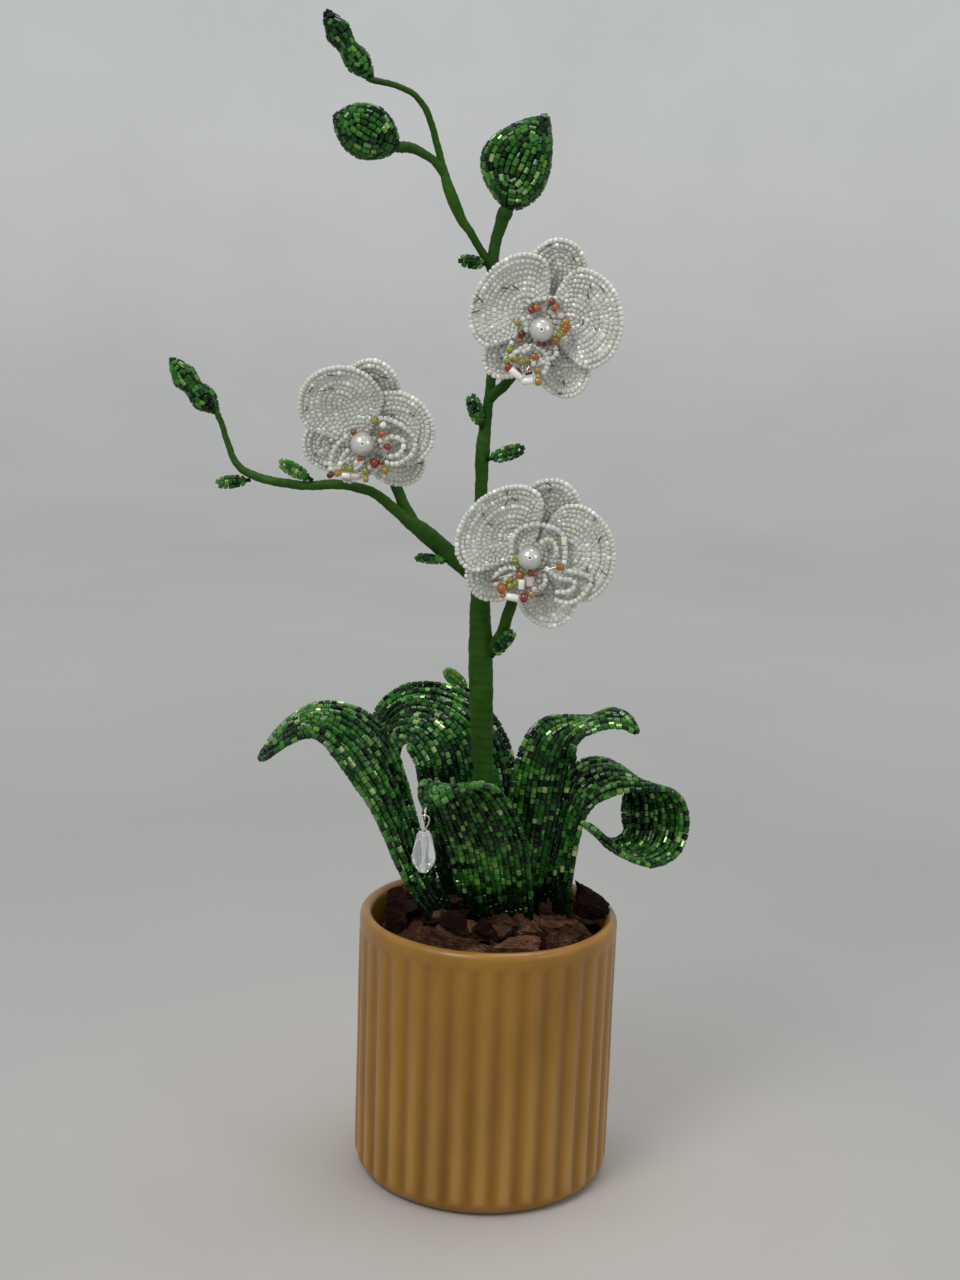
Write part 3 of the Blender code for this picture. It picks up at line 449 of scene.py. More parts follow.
def wire_material():
    m = Nodes("silver_wire")
    n1 = m.noise(m.coords(), 800.0, 3.0, 0.5)
    col = m.ramp(n1, "Fac", [(0.3, (0.52, 0.51, 0.47)), (0.7, (0.74, 0.73, 0.69))])
    m.link(col, "Color", m.p, "Base Color")
    m.p.inputs["Metallic"].default_value = 1.0
    rr = m.ramp(n1, "Fac", [(0.3, (0.34, 0.34, 0.34)), (0.7, (0.22, 0.22, 0.22))])
    m.link(rr, "Color", m.p, "Roughness")
    return m.mat


def stage_material():
    m = Nodes("studio_paper")
    tc = m.new("ShaderNodeTexCoord")
    sep = m.new("ShaderNodeSeparateXYZ")
    m.link(tc, "Object", sep, "Vector")
    flat = m.new("ShaderNodeCombineXYZ")
    m.link(sep, "X", flat, "X")
    m.link(sep, "Y", flat, "Y")
    ln = m.new("ShaderNodeVectorMath", operation='LENGTH')
    m.link(flat, "Vector", ln, 0)
    mr = m.new("ShaderNodeMapRange")
    mr.inputs["From Min"].default_value = 0.0
    mr.inputs["From Max"].default_value = 2.6
    m.link(ln, "Value", mr, "Value")
    col = m.ramp(mr, "Result", [(r / 2.6, c) for r, c in STAGE_LIGHT_TONES])
    n1 = m.noise(m.coords(), 5.0, 3.0, 0.5)
    tint = m.ramp(n1, "Fac", [(0.35, (0.975, 0.975, 0.975)), (0.65, (1.015, 1.015, 1.015))])
    mul = m.mix(None, None, col, "Color", tint, "Color", 'MULTIPLY', 1.0)
    m.link(mul, 2, m.p, "Base Color")
    m.p.inputs["Roughness"].default_value = 0.85
    m.p.inputs["Specular IOR Level"].default_value = 0.15
    return m.mat


GLAZE = glaze_material()
TAPE = tape_material()
BARK_DARK = bark_material("bark_dark", (0.0052, 0.0014, 0.0009), (0.0180, 0.0056, 0.0036), (0.056, 0.021, 0.0135))
BARK_MID = bark_material("bark_brown", (0.0175, 0.0078, 0.0044), (0.068, 0.0310, 0.0165), (0.155, 0.079, 0.044))
BARK_LIGHT = bark_material("bark_weathered", (0.036, 0.0175, 0.0095), (0.125, 0.064, 0.0350), (0.270, 0.155, 0.090))
PLASTER = plaster_material()
PEARL = pearl_material()
WIRE = wire_material()
CRYSTAL = principled("cut_crystal", Base_Color=(0.96, 0.975, 0.98), Roughness=0.06, Transmission_Weight=0.80,
                     IOR=1.5, Coat_Weight=0.3, Coat_Roughness=0.06)


# =================================================================================
# mesh helpers
# =================================================================================

def spline(rows, n):
    """Catmull-Rom through the rows, then n points at even steps along x, y, z."""
    rows = [list(map(float, r)) for r in rows]
    ext = [[2 * a - b for a, b in zip(rows[0], rows[1])]] + rows + \
          [[2 * a - b for a, b in zip(rows[-1], rows[-2])]]
    fine = []
    for i in range(1, len(ext) - 2):
        p0, p1, p2, p3 = ext[i - 1:i + 3]
        for k in range(12):
            t = k / 12
            fine.append([0.5 * (2 * b + (c - a) * t + (2 * a - 5 * b + 4 * c - d) * t * t
                                + (3 * b - a - 3 * c + d) * t ** 3) for a, b, c, d in zip(p0, p1, p2, p3)])
    fine.append(rows[-1])
    run = [0.0]
    for a, b in zip(fine, fine[1:]):
        run.append(run[-1] + math.dist(a[:3], b[:3]))
    out = []
    j = 0
    for k in range(n):
        want = run[-1] * k / (n - 1)
        while j < len(run) - 2 and run[j + 1] < want:
            j += 1
        t = (want - run[j]) / max(run[j + 1] - run[j], 1e-9)
        out.append([a + (b - a) * t for a, b in zip(fine[j], fine[j + 1])])
    return out, run[-1]


def settle(obj, nodes=(), body="plant"):
    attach(obj, body)
    if nodes:
        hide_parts(*nodes)
    return obj


def link(name, me):
    ob = bpy.data.objects.new(name, me)
    bpy.context.scene.collection.objects.link(ob)
    return ob


def mesh_from(name, verts, faces, mats, smooth=True, index=None, attrs=None):
    """verts in millimetres (n,3); faces a list of tuples."""
    me = bpy.data.meshes.new(name)
    me.from_pydata((np.asarray(verts, float) * MM).tolist(), [], faces)
    for m in mats:
        me.materials.append(m)
    if index is not None:
        me.polygons.foreach_set("material_index", np.asarray(index, dtype=np.int32))
    me.polygons.foreach_set("use_smooth", np.full(len(me.polygons), smooth, dtype=bool))
    for key, values in (attrs or {}).items():
        a = me.attributes.new(key, 'FLOAT', 'POINT')
        a.data.foreach_set("value", np.asarray(values, dtype=np.float32))
    me.update()
    return link(name, me)


def template(sides, rings):
    """A closed bead along Z: rings of (z, radius) from its low end to its high end."""
    verts, faces = [], []
    for z, r in rings:
        for i in range(sides):
            a = 2 * math.pi * (i + .5) / sides
            verts.append((r * math.cos(a), r * math.sin(a), z))
    for j in range(len(rings) - 1):
        for i in range(sides):
            a, b = j * sides + i, j * sides + (i + 1) % sides
            faces.append((a, b, b + sides, a + sides))
    faces.append(tuple(reversed(range(sides))))
    faces.append(tuple(range((len(rings) - 1) * sides, len(rings) * sides)))
    return np.array(verts, float), faces


TEMPLATES = {
    "cut": template(8, [(-.5, .70), (-.41, .97), (.41, .97), (.5, .70)]),
    "seed": template(8, [(-.5, .64), (-.41, .89), (-.20, 1), (.20, 1), (.41, .89), (.5, .64)]),
    "round": template(16, [(-.47, .30), (-.5, .42), (-.47, .62), (-.34, .88), (-.15, .99), (.15, .99), (.34, .88),
                           (.47, .62), (.5, .42), (.47, .30)]),
    "tube": template(16, [(-.49, .45), (-.5, .60), (-.495, .82), (-.46, .97), (0, 1), (.46, .97), (.495, .82),
                          (.5, .60), (.49, .45)]),
}
SMOOTH = {"cut": False, "seed": True, "round": True, "tube": True}


class Beadwork:
    """Many beads and the wires they are threaded on, gathered into one mesh."""

    def __init__(self, name, mats, seed):
        self.name, self.mats = name, mats
        self.rng = random.Random(seed)
        self.beads = {}
        self.verts, self.faces, self.index = [], [], []
        self.count = 0

    def bead(self, kind, at, axis, radius, length, slot, spin=None, squash=1.0):
        z = np.asarray(axis, float)
        z = z / max(np.linalg.norm(z), 1e-9)
        ref = np.array([0.31, -0.88, 0.35]) if abs(z[1]) < 0.8 else np.array([0.9, 0.1, 0.4])
        x = np.cross(ref, z)
        x /= np.linalg.norm(x)
        y = np.cross(z, x)
        a = self.rng.uniform(0, 2 * math.pi) if spin is None else spin
        xr = (x * math.cos(a) + y * math.sin(a)) * radius
        yr = (-x * math.sin(a) + y * math.cos(a)) * radius * squash
        self.beads.setdefault(kind, []).append((at, xr, yr, z * length, slot))

    def row(self, pts, kind, radius, lens, pick, wire=None, wire_r=0.16, jitter=0.06, keep=None):
        """Thread beads along the points; lens is the shortest and longest bead."""
        pts = np.asarray(pts, float)
        d = np.linalg.norm(np.diff(pts, axis=0), axis=1)
        run = np.concatenate([[0], np.cumsum(d)])
        total = run[-1]
        if total < lens[0] * 0.8:
            return
        sizes = []
        while sum(sizes) < total:
            sizes.append(self.rng.uniform(*lens))
        k = total / sum(sizes)
        s = 0.0
        for size in sizes:
            size *= k
            mid = s + size / 2
            s += size
            lo, hi = max(mid - size * .5, 0), min(mid + size * .5, total)
            p = np.array([np.interp(mid, run, pts[:, c]) for c in range(3)])
            a = np.array([np.interp(lo, run, pts[:, c]) for c in range(3)])
            b = np.array([np.interp(hi, run, pts[:, c]) for c in range(3)])
            if keep is not None and not keep(p):
                continue
            tilt = np.array([self.rng.gauss(0, 0.05) for _ in range(3)])
            off = np.array([self.rng.gauss(0, jitter) for _ in range(3)])
            ax = b - a
            ax = ax / max(np.linalg.norm(ax), 1e-9) + tilt
            self.bead(kind, p + off, ax, radius * self.rng.uniform(.93, 1.05), size * self.rng.uniform(.90, .97),
                      pick(p, self.rng))
        if wire is not None:
            n = max(3, int(total / 1.7))
            t = np.linspace(0, total, n)
            self.wire(np.stack([np.interp(t, run, pts[:, c]) for c in range(3)], 1), wire_r, wire)

    def wire(self, pts, r, slot, sides=5, closed=False):
        pts = np.asarray(pts, float)
        n = len(pts)
        if closed:
            tan = np.roll(pts, -1, 0) - np.roll(pts, 1, 0)
        else:
            tan = np.gradient(pts, axis=0)
        tan /= np.maximum(np.linalg.norm(tan, axis=1, keepdims=True), 1e-9)
        x = np.cross(tan[0], [0.3, 0.5, 0.81])
        if np.linalg.norm(x) < .1:
            x = np.cross(tan[0], [1, 0, 0])
        x /= np.linalg.norm(x)
        base = self.count
        for i in range(n):
            x = x - tan[i] * np.dot(x, tan[i])
            x /= max(np.linalg.norm(x), 1e-9)
            y = np.cross(tan[i], x)
            for j in range(sides):
                a = 2 * math.pi * j / sides
                self.verts.append(pts[i] + (x * math.cos(a) + y * math.sin(a)) * r)
        self.count += n * sides
        for i in range(n if closed else n - 1):
            k = (i + 1) % n
            for j in range(sides):
                a, b = base + i * sides + j, base + i * sides + (j + 1) % sides
                c, d = base + k * sides + (j + 1) % sides, base + k * sides + j
                self.faces.append((a, b, c, d))
                self.index.append(slot)
        if not closed:
            self.faces.append(tuple(base + j for j in reversed(range(sides))))
            self.faces.append(tuple(base + (n - 1) * sides + j for j in range(sides)))
            self.index += [slot, slot]

    def build(self):
        verts = [np.array(self.verts, float).reshape(-1, 3)]
        faces, index, smooth = list(self.faces), list(self.index), [True] * len(self.faces)
        base = self.count
        for kind, beads in self.beads.items():
            tv, tf = TEMPLATES[kind]
            at = np.array([b[0] for b in beads])
            x, y, z = (np.array([b[k] for b in beads]) for k in (1, 2, 3))
            v = at[:, None, :] + tv[None, :, 0:1] * x[:, None, :] + tv[None, :, 1:2] * y[:, None, :] \
                + tv[None, :, 2:3] * z[:, None, :]
            verts.append(v.reshape(-1, 3))
            m = len(tv)
            for i, b in enumerate(beads):
                o = base + i * m
                faces.extend(tuple(o + q for q in f) for f in tf)
                index.extend([b[4]] * len(tf))
                smooth.extend([SMOOTH[kind]] * len(tf))
            base += m * len(beads)
        ob = mesh_from(self.name, np.concatenate(verts), faces, self.mats, True, index)
        ob.data.polygons.foreach_set("use_smooth", np.array(smooth, dtype=bool))
        for kind in ("round", "tube"):
            if kind in self.beads:
                ob.data.set_sharp_from_angle(angle=math.radians(55))
                break
        return ob


# =================================================================================
# the pot, what fills it, and the bark
# =================================================================================

def build_pot():
    inner = POT_R - POT_WALL
    prof = [(0, POT_FLOOR), (inner - 4, POT_FLOOR), (inner - 1.8, POT_FLOOR + .8), (inner - .6, POT_FLOOR + 3.4),
            (inner - .1, POT_H - 16), (inner, POT_H - 3), (inner + .25, POT_H - 1.7), (inner + .75, POT_H - .75),
            (inner + 1.5, POT_H - .2), (inner + 2.25, POT_H), (inner + 3.05, POT_H - .2), (POT_R - .62, POT_H - .8),
            (POT_R - .2, POT_H - 1.6), (POT_R, POT_H - 2.6)]
    z = POT_H - 3.2
    while z > 7:
        prof.append((POT_R, z))
        z -= 0.9 if z > POT_H - 12 or z < 14 else 3.2
    prof += [(POT_R, 6.4), (POT_R - .12, 5.4), (POT_R - .4, 4.2), (POT_R - .9, 3), (POT_R - 1.7, 1.8),
             (POT_R - 3, .6), (POT_R - 3.8, .12), (POT_R - 4.5, 0), (POT_R - 6, 0), (POT_R - 6.6, .5),
             (POT_R - 8, .6), (0, .6)]
    steps = FLUTES * 14
    top, bottom = POT_H - RIM_BAND - 1, 2.0
    verts, rib = [], []
    for r0, z0 in prof:
        if r0 == 0:
            verts.append((0, 0, z0))
            rib.append(0.5)
            continue
        for i in range(steps):
            a = 2 * math.pi * i / steps
            r, crest = r0, 0.72
            if r0 >= POT_R - 1.5 and bottom < z0 < top:
                fade = min(1, (top - z0) / 3) * min(1, (z0 - bottom) / 4)
                fade = fade * fade * (3 - 2 * fade)
                # the glaze lies thick towards the top and softens the ribs there
                fade *= 0.50 + 0.50 * min(1, (top - z0) / 42)
                wave = 0.5 - 0.5 * math.cos(FLUTES * a + math.pi)
                # rounded ribs with narrower grooves between them
                cut = wave ** 1.35
                r -= FLUTE_DEPTH * 1.15 * fade * cut
                # crests lighter and grooves darker where the glaze breaks and pools; the crests lighten further towards
                # the foot as a painted highlight
                crest = 0.66 * (1 - fade) + fade * (0.22 + 0.78 * (1 - cut) ** 0.6) * (0.82 + 0.18 * max(0, 1 - z0 / 60))
            # a thrown pot is never quite even
            r += 0.05 * math.sin(3 * a + z0 * .07) + 0.04 * math.sin(7 * a - z0 * .11)
            verts.append((r * math.cos(a), r * math.sin(a), z0))
            rib.append(crest)
    faces = []
    start = []
    k = 0
    for r0, _ in prof:
        start.append(k)
        k += 1 if r0 == 0 else steps
    for j in range(len(prof) - 1):
        a0, b0 = start[j], start[j + 1]
        one, two = prof[j][0] == 0, prof[j + 1][0] == 0
        for i in range(steps):
            n = (i + 1) % steps
            if one:
                faces.append((a0, b0 + i, b0 + n))
            elif two:
                faces.append((a0 + i, b0, a0 + n))
            else:
                faces.append((a0 + i, b0 + i, b0 + n, a0 + n))
    ob = mesh_from("pot_fluted", verts, faces, [GLAZE], True, attrs={"rib": rib})
    return settle(ob, ["pot"])


def crag_shade(co, seed, size):
    """Rough bark relief at a point, about -1 to 1."""
    p = Vector(co) * (1.0 / size) + Vector((seed * 3.7, seed * 1.9, -seed * 2.3))
    q = Vector((p.x, p.y, p.z * 2.4))
    a = noise.ridged_multi_fractal(q * 2.1, 0.9, 2.1, 4, 1.0, 2.0)
    b = noise.fractal(q * 5.0, 0.8, 2.2, 4)
    c = noise.noise(p * 1.2)
    return 0.42 * (a - 0.9) + 0.35 * b + 0.55 * c


def chunk(bm, rng, size, seed, planes=11, relief=0.8):
    """Shape a subdivided cube into an angular chunk of bark; gives each vertex's painted shade, dark in the splits and
    under the flaking shelves, light on the ridges.
    """
    cuts = []
    for _ in range(planes):
        n = Vector((rng.gauss(0, 1), rng.gauss(0, 1), rng.gauss(0, 1))).normalized()
        cuts.append((n, rng.uniform(.24, .42)))
    shear = [rng.uniform(-.30, .30) for _ in range(4)]
    small = min(size)
    out = []
    for v in bm.verts:
        c = v.co.copy()
        p = c.lerp(c.normalized() * 0.60, 0.12)
        for n, d in cuts:
            over = n.dot(p) - d
            if over > 0:
                p -= n * over * .985
        p.x += shear[0] * p.z
        p.y += shear[1] * p.z
        p.z *= 1 - shear[2] * p.x - abs(shear[3]) * p.y
        q = Vector((p.x * size[0], p.y * size[1], p.z * size[2])) * 1.16
        # long splits and flaking layers
        g = Vector((q.x * .16, q.y * .16, q.z * .55)) + Vector((seed * 3.7, seed * 1.9, -seed * 2.3))
        ridge = noise.ridged_multi_fractal(g * 1.6, 0.9, 2.1, 5, 1.0, 2.0)
        fine = noise.fractal(g * 6.0, 0.9, 2.1, 4)
        broad = noise.noise(g * .8)
        step = (q.z / 1.3 + 1.4 * noise.noise(q * 0.25 + Vector((seed, 0, 0)))) % 1.0
        shelf = .28 * (1 - step) if step > .10 else 0.0
        h = .30 * (ridge - 1.0) + .22 * fine + .45 * broad
        n = c.normalized()
        q += n * (h * .115 * small * relief - shelf * .35)
        # painted shade: darker in the splits and under each shelf, lighter on the ridges
        out.append(max(0, min(1, .46 + .42 * (ridge - 1.0) + .35 * fine - .55 * shelf)))
        v.co = q
    return out


def chip(name, centre, size, turn, seed, mat, detail=26, tilt=(0, 0), node=None):
    bm = bmesh.new()
    bmesh.ops.create_cube(bm, size=1.0)
    bmesh.ops.subdivide_edges(bm, edges=bm.edges[:], cuts=detail, use_grid_fill=True)
    bm.verts.index_update()
    rng = random.Random(seed)
    rot = Matrix.Rotation(math.radians(turn), 3, 'Z') @ Matrix.Rotation(math.radians(tilt[0]), 3, 'X') @ \
        Matrix.Rotation(math.radians(tilt[1]), 3, 'Y')
    values = chunk(bm, rng, size, seed, 11, 1.55)
    for v in bm.verts:
        q = rot @ v.co + Vector(centre)
        q.z = max(q.z, FILL_TOP + .15)
        rr = math.hypot(q.x, q.y)
        lim = POT_R - POT_WALL - .25
        if q.z < POT_H and rr > lim:
            q.x *= lim / rr
            q.y *= lim / rr
        v.co = q * MM
    bm.normal_update()
    me = bpy.data.meshes.new(name)
    bm.to_mesh(me)
    bm.free()
    a = me.attributes.new("crag_shade", 'FLOAT', 'POINT')
    a.data.foreach_set("value", np.array(values, dtype=np.float32))
    me.materials.append(mat)
    me.shade_smooth()
    me.set_sharp_from_angle(angle=math.radians(30))
    ob = link(name, me)
    return settle(ob, [node] if node else ())


def build_bark():
    tilts = {"bark_left": (8, -14), "bark_front_left": (-14, 6), "bark_front_mid": (-20, -5),
             "bark_front_right": (-10, 24), "bark_right": (6, 22), "bark_back_left": (12, 8),
             "bark_back": (14, -6), "bark_back_right": (10, -12)}
    for i, (name, (centre, size, turn)) in enumerate(BARK.items()):
        mat = {"bark_front_mid": BARK_LIGHT, "bark_back": BARK_LIGHT, "bark_front_left": BARK_MID,
               "bark_front_right": BARK_MID, "bark_back_left": BARK_MID}.get(name, BARK_DARK)
        chip(name + "_chip", centre, tuple(s * 1.0 for s in size), turn, 11 + i * 5, mat, 38, tilts[name], name)
    # smaller pieces lie between and under the big ones
    rng = random.Random(41)
    bits = []
    tries = 0
    while len(bits) < 64 and tries < 1500:
        tries += 1
        a, r = rng.uniform(0, 2 * math.pi), 38.5 * math.sqrt(rng.uniform(0.02, 1))
        x, y = r * math.cos(a), r * math.sin(a)
        if all(math.hypot(x - b[0], y - b[1]) > 4.4 for b in bits):
            bits.append((x, y))
    bits = [(x, y, 0) for x, y in bits]
    # the pieces are heaped against the leaves' feet
    for j in range(34):
        a = 2 * math.pi * (j + rng.uniform(-.3, .3)) / 34
        r = rng.uniform(21, 27)
        front = .5 - .5 * math.sin(a)
        bits.append((r * math.cos(a), r * math.sin(a) * .92, FILL_TOP + 7.5 + 5.0 * front + rng.uniform(-1, 1)))
    for j in range(16):
        a = -math.pi * (j + .5) / 16
        r = rng.uniform(28, 33)
        bits.append((r * math.cos(a), r * math.sin(a), FILL_TOP + 7.6 + rng.uniform(-1, 1.2)))
    verts, faces, attr, k = [], [], [], 0
    tones = []
    for i, (x, y, _) in enumerate(bits):
        bm = bmesh.new()
        bmesh.ops.create_cube(bm, size=1.0)
        bmesh.ops.subdivide_edges(bm, edges=bm.edges[:], cuts=11, use_grid_fill=True)
        bm.verts.index_update()
        sx, sy, sz = rng.uniform(8, 13.5), rng.uniform(5.5, 9), rng.uniform(4, 6.8)
        rot = Matrix.Rotation(rng.uniform(0, 6.28), 3, 'Z') @ Matrix.Rotation(rng.gauss(0, .35), 3, 'X')
        z = FILL_TOP + 2.2 + rng.uniform(0, 2.6)
        if i >= 64:
            z = bits[i][2]
        vals = chunk(bm, rng, (sx, sy, sz), i + 60, 8, 1.9)
        for v in bm.verts:
            q = rot @ v.co + Vector((x, y, z))
            q.z = max(q.z, FILL_TOP + .2)
            rr = math.hypot(q.x, q.y)
            if rr > 41:
                q.x *= 41 / rr
                q.y *= 41 / rr
            verts.append(tuple(q))
        attr += vals
        tone = rng.choice((0, 1, 1, 2, 2) if y < -12 else (0, 0, 1, 1, 2))
        for f in bm.faces:
            faces.append(tuple(v.index + k for v in f.verts))
            tones.append(tone)
        k += len(bm.verts)
        bm.free()
    ob = mesh_from("bark_crumbs", verts, faces, [BARK_DARK, BARK_MID, BARK_LIGHT], True, index=tones,
                   attrs={"crag_shade": attr})
    ob.data.set_sharp_from_angle(angle=math.radians(32))
    settle(ob)
    # fine bark dust covers the filler
    verts, faces, attr = [], [], []
    rings, steps = 26, 88
    for i in range(rings + 1):
        r = 41.0 * i / rings
        for j in range(steps):
            a = 2 * math.pi * j / steps
            x, y = r * math.cos(a), r * math.sin(a)
            h = noise.fractal(Vector((x * .35, y * .35, 3.1)), .8, 2.2, 5)
            verts.append((x, y, FILL_TOP + .9 + .75 * h if i < rings else FILL_TOP + .12))
            attr.append(max(0, min(1, .35 + .5 * h)))
    n_top = len(verts)
    verts.append((0, 0, FILL_TOP + .1))
    attr.append(.3)
    for i in range(rings):
        for j in range(steps):
            a, b = i * steps + j, i * steps + (j + 1) % steps
            faces.append((a, a + steps, b + steps, b))
    for j in range(steps):
        faces.append((n_top, rings * steps + (j + 1) % steps, rings * steps + j))
    ob = mesh_from("bark_dust", verts, faces, [BARK_DARK], True, attrs={"crag_shade": attr})
    settle(ob)


# =================================================================================
# taped stems
# =================================================================================

def taped(name, rows, seed, sides=22, pitch=3.1, ridge=0.13, start_coils=0.0, end_coils=0.0):
    total = spline(rows, 8)[1]
    n = max(12, int(total / 0.42))
    pts, total = spline(rows, n)
    P = np.array([p[:3] for p in pts])
    R = np.array([p[3] for p in pts])
    tan = np.gradient(P, axis=0)
    tan /= np.linalg.norm(tan, axis=1, keepdims=True)
    x = np.cross(tan[0], [0.2, 0.95, 0.1])
    x /= np.linalg.norm(x)
    verts, tape_edge_shade_and_highlight = [], []
    for i in range(n):
        x = x - tan[i] * np.dot(x, tan[i])
        x /= np.linalg.norm(x)
        y = np.cross(tan[i], x)
        s = total * i / (n - 1)
        for j in range(sides):
            a = 2 * math.pi * j / sides
            wob = 0.9 * noise.noise(Vector((s * .16, math.cos(a) * .7 + seed, math.sin(a) * .7)))
            # each turn of tape lies over the last one
            f = (s / pitch + a / (2 * math.pi) + 0.35 * noise.noise(Vector((s * .12, seed, 0)))) % 1.0
            lay = (1 - f) if f > 0.10 else f / 0.10
            amp = ridge
            near_end = max(0.0, 1 - (total - s) / 9) * end_coils
            near_start = max(0.0, 1 - s / 9) * start_coils
            g = (s / 1.5 + a / (2 * math.pi)) % 1.0
            coil = (near_end + near_start) * (0.5 - 0.5 * math.cos(2 * math.pi * g)) * 0.42
            fold = 0.05 * math.sin(3 * a + s * .9 + seed) + 0.04 * math.sin(5 * a - s * .6)
            r = R[i] * (1 + 0.05 * wob) + amp * (lay - 0.6) + coil + fold
            if i == n - 1:
                r *= .82
            verts.append(P[i] + (x * math.cos(a) + y * math.sin(a)) * r)
            # the tape tone: painted shade low at each step, painted highlight on the raised edge, with some random
            # variation
            tape_edge_shade_and_highlight.append(min(1, lay * .8 + .12 + .2 * wob))
    faces = []
    for i in range(n - 1):
        for j in range(sides):
            a, b = i * sides + j, i * sides + (j + 1) % sides
            faces.append((a, b, b + sides, a + sides))
    faces.append(tuple(reversed(range(sides))))
    faces.append(tuple((n - 1) * sides + j for j in range(sides)))
    ob = mesh_from(name + "_taped", verts, faces, [TAPE], True, attrs={"tape_edge_shade_and_highlight": tape_edge_shade_and_highlight})
    return settle(ob, [name])


def build_stems():
    coils = {"round_bud_stalk": (0, 1.2), "main_stem": (0, .5), "left_branch": (0, .4), "top_left_branch": (0, .4)}
    for i, (name, rows) in enumerate(STEMS.items()):
        rows = FORKS.get(name, []) + rows
        if name == "main_stem":
            rows = [(-2.2, 0, 78, 3.4)] + rows[1:]
        if name in ("main_stem", "left_branch", "top_left_branch", "round_bud_stalk"):
            e = Vector(rows[-1][:3])
            e += (e - Vector(rows[-2][:3])).normalized() * 2.4
            rows = rows + [(e.x, e.y, e.z, rows[-1][3] * .45)]
        thick = max(r[3] for r in rows)
        s0, s1 = coils.get(name, (0, .3))
        taped(name, rows, 5 + i * 3, 24 if thick > 2.5 else 18, 3.2 if thick > 2.5 else 2.5,
              0.15 if thick > 2.5 else 0.11, s0, s1)


# =================================================================================
# beaded leaves, leaflets and buds
# =================================================================================

def pick_green(bias=0.0, seed=0.0, shade_below=None, lined=0.12):
    def pick(p, rng):
        v = 0.95 * noise.noise(Vector(p) * 0.07 + Vector((seed, 0, 0))) + \
            0.40 * noise.noise(Vector(p) * 0.3 + Vector((0, seed, 0))) + rng.gauss(0, .47) + bias
        # painted shade: beads low on the leaf, near the bark, turn darker as they would lie in shade
        low = 0.0
        if shade_below is not None and p[2] < shade_below:
            low = min(2.4, (shade_below - p[2]) / 9)
            v -= low
        if rng.random() < lined * (1 - low * .7):
            return 5
        if rng.random() < 0.016 * (1 - low * .8):
            return 6
        for slot, edge in enumerate((-.46, .04, .56, 1.12)):
            if v < edge:
                return slot
        return 4
    return pick


def leaf_width(t, base=0.6, widest=0.45):
    if t < widest:
        return base + (1 - base) * math.sin(math.pi / 2 * t / widest)
    k = min((t - widest) / (1 - widest), 1.0)
    return max(1 - k ** 2.6, 0) ** 0.56


class LeafSurface:
    def __init__(self, stations, half, cup, base):
        n = 121
        pts, self.length = spline(stations, n)
        P = np.array([p[:3] for p in pts])
        A = np.array([p[3:] for p in pts])
        T = np.zeros_like(P)
        for i in range(n):
            T[i] = P[min(i + 4, n - 1)] - P[max(i - 2, 0)]
        T /= np.linalg.norm(T, axis=1, keepdims=True)
        A = A - T * np.sum(A * T, 1, keepdims=True)
        A /= np.linalg.norm(A, axis=1, keepdims=True)
        self.P, self.A, self.U = P, A, np.cross(A, T)
        self.u = np.linspace(0, 1, n)
        self.half, self.cup, self.base = half, cup, base

    def at(self, s, w, lift=0.0):
        u = min(max(s / self.length, 0), 1)
        f = [np.array([np.interp(u, self.u, M[:, c]) for c in range(3)]) for M in (self.P, self.A, self.U)]
        W = max(self.half * leaf_width(u, self.base), self.half * .2)
        nrm = f[2] - f[1] * (2 * self.cup * w / W)
        nrm /= np.linalg.norm(nrm)
        return f[0] + f[1] * w + f[2] * (self.cup * w * w / W) + nrm * lift


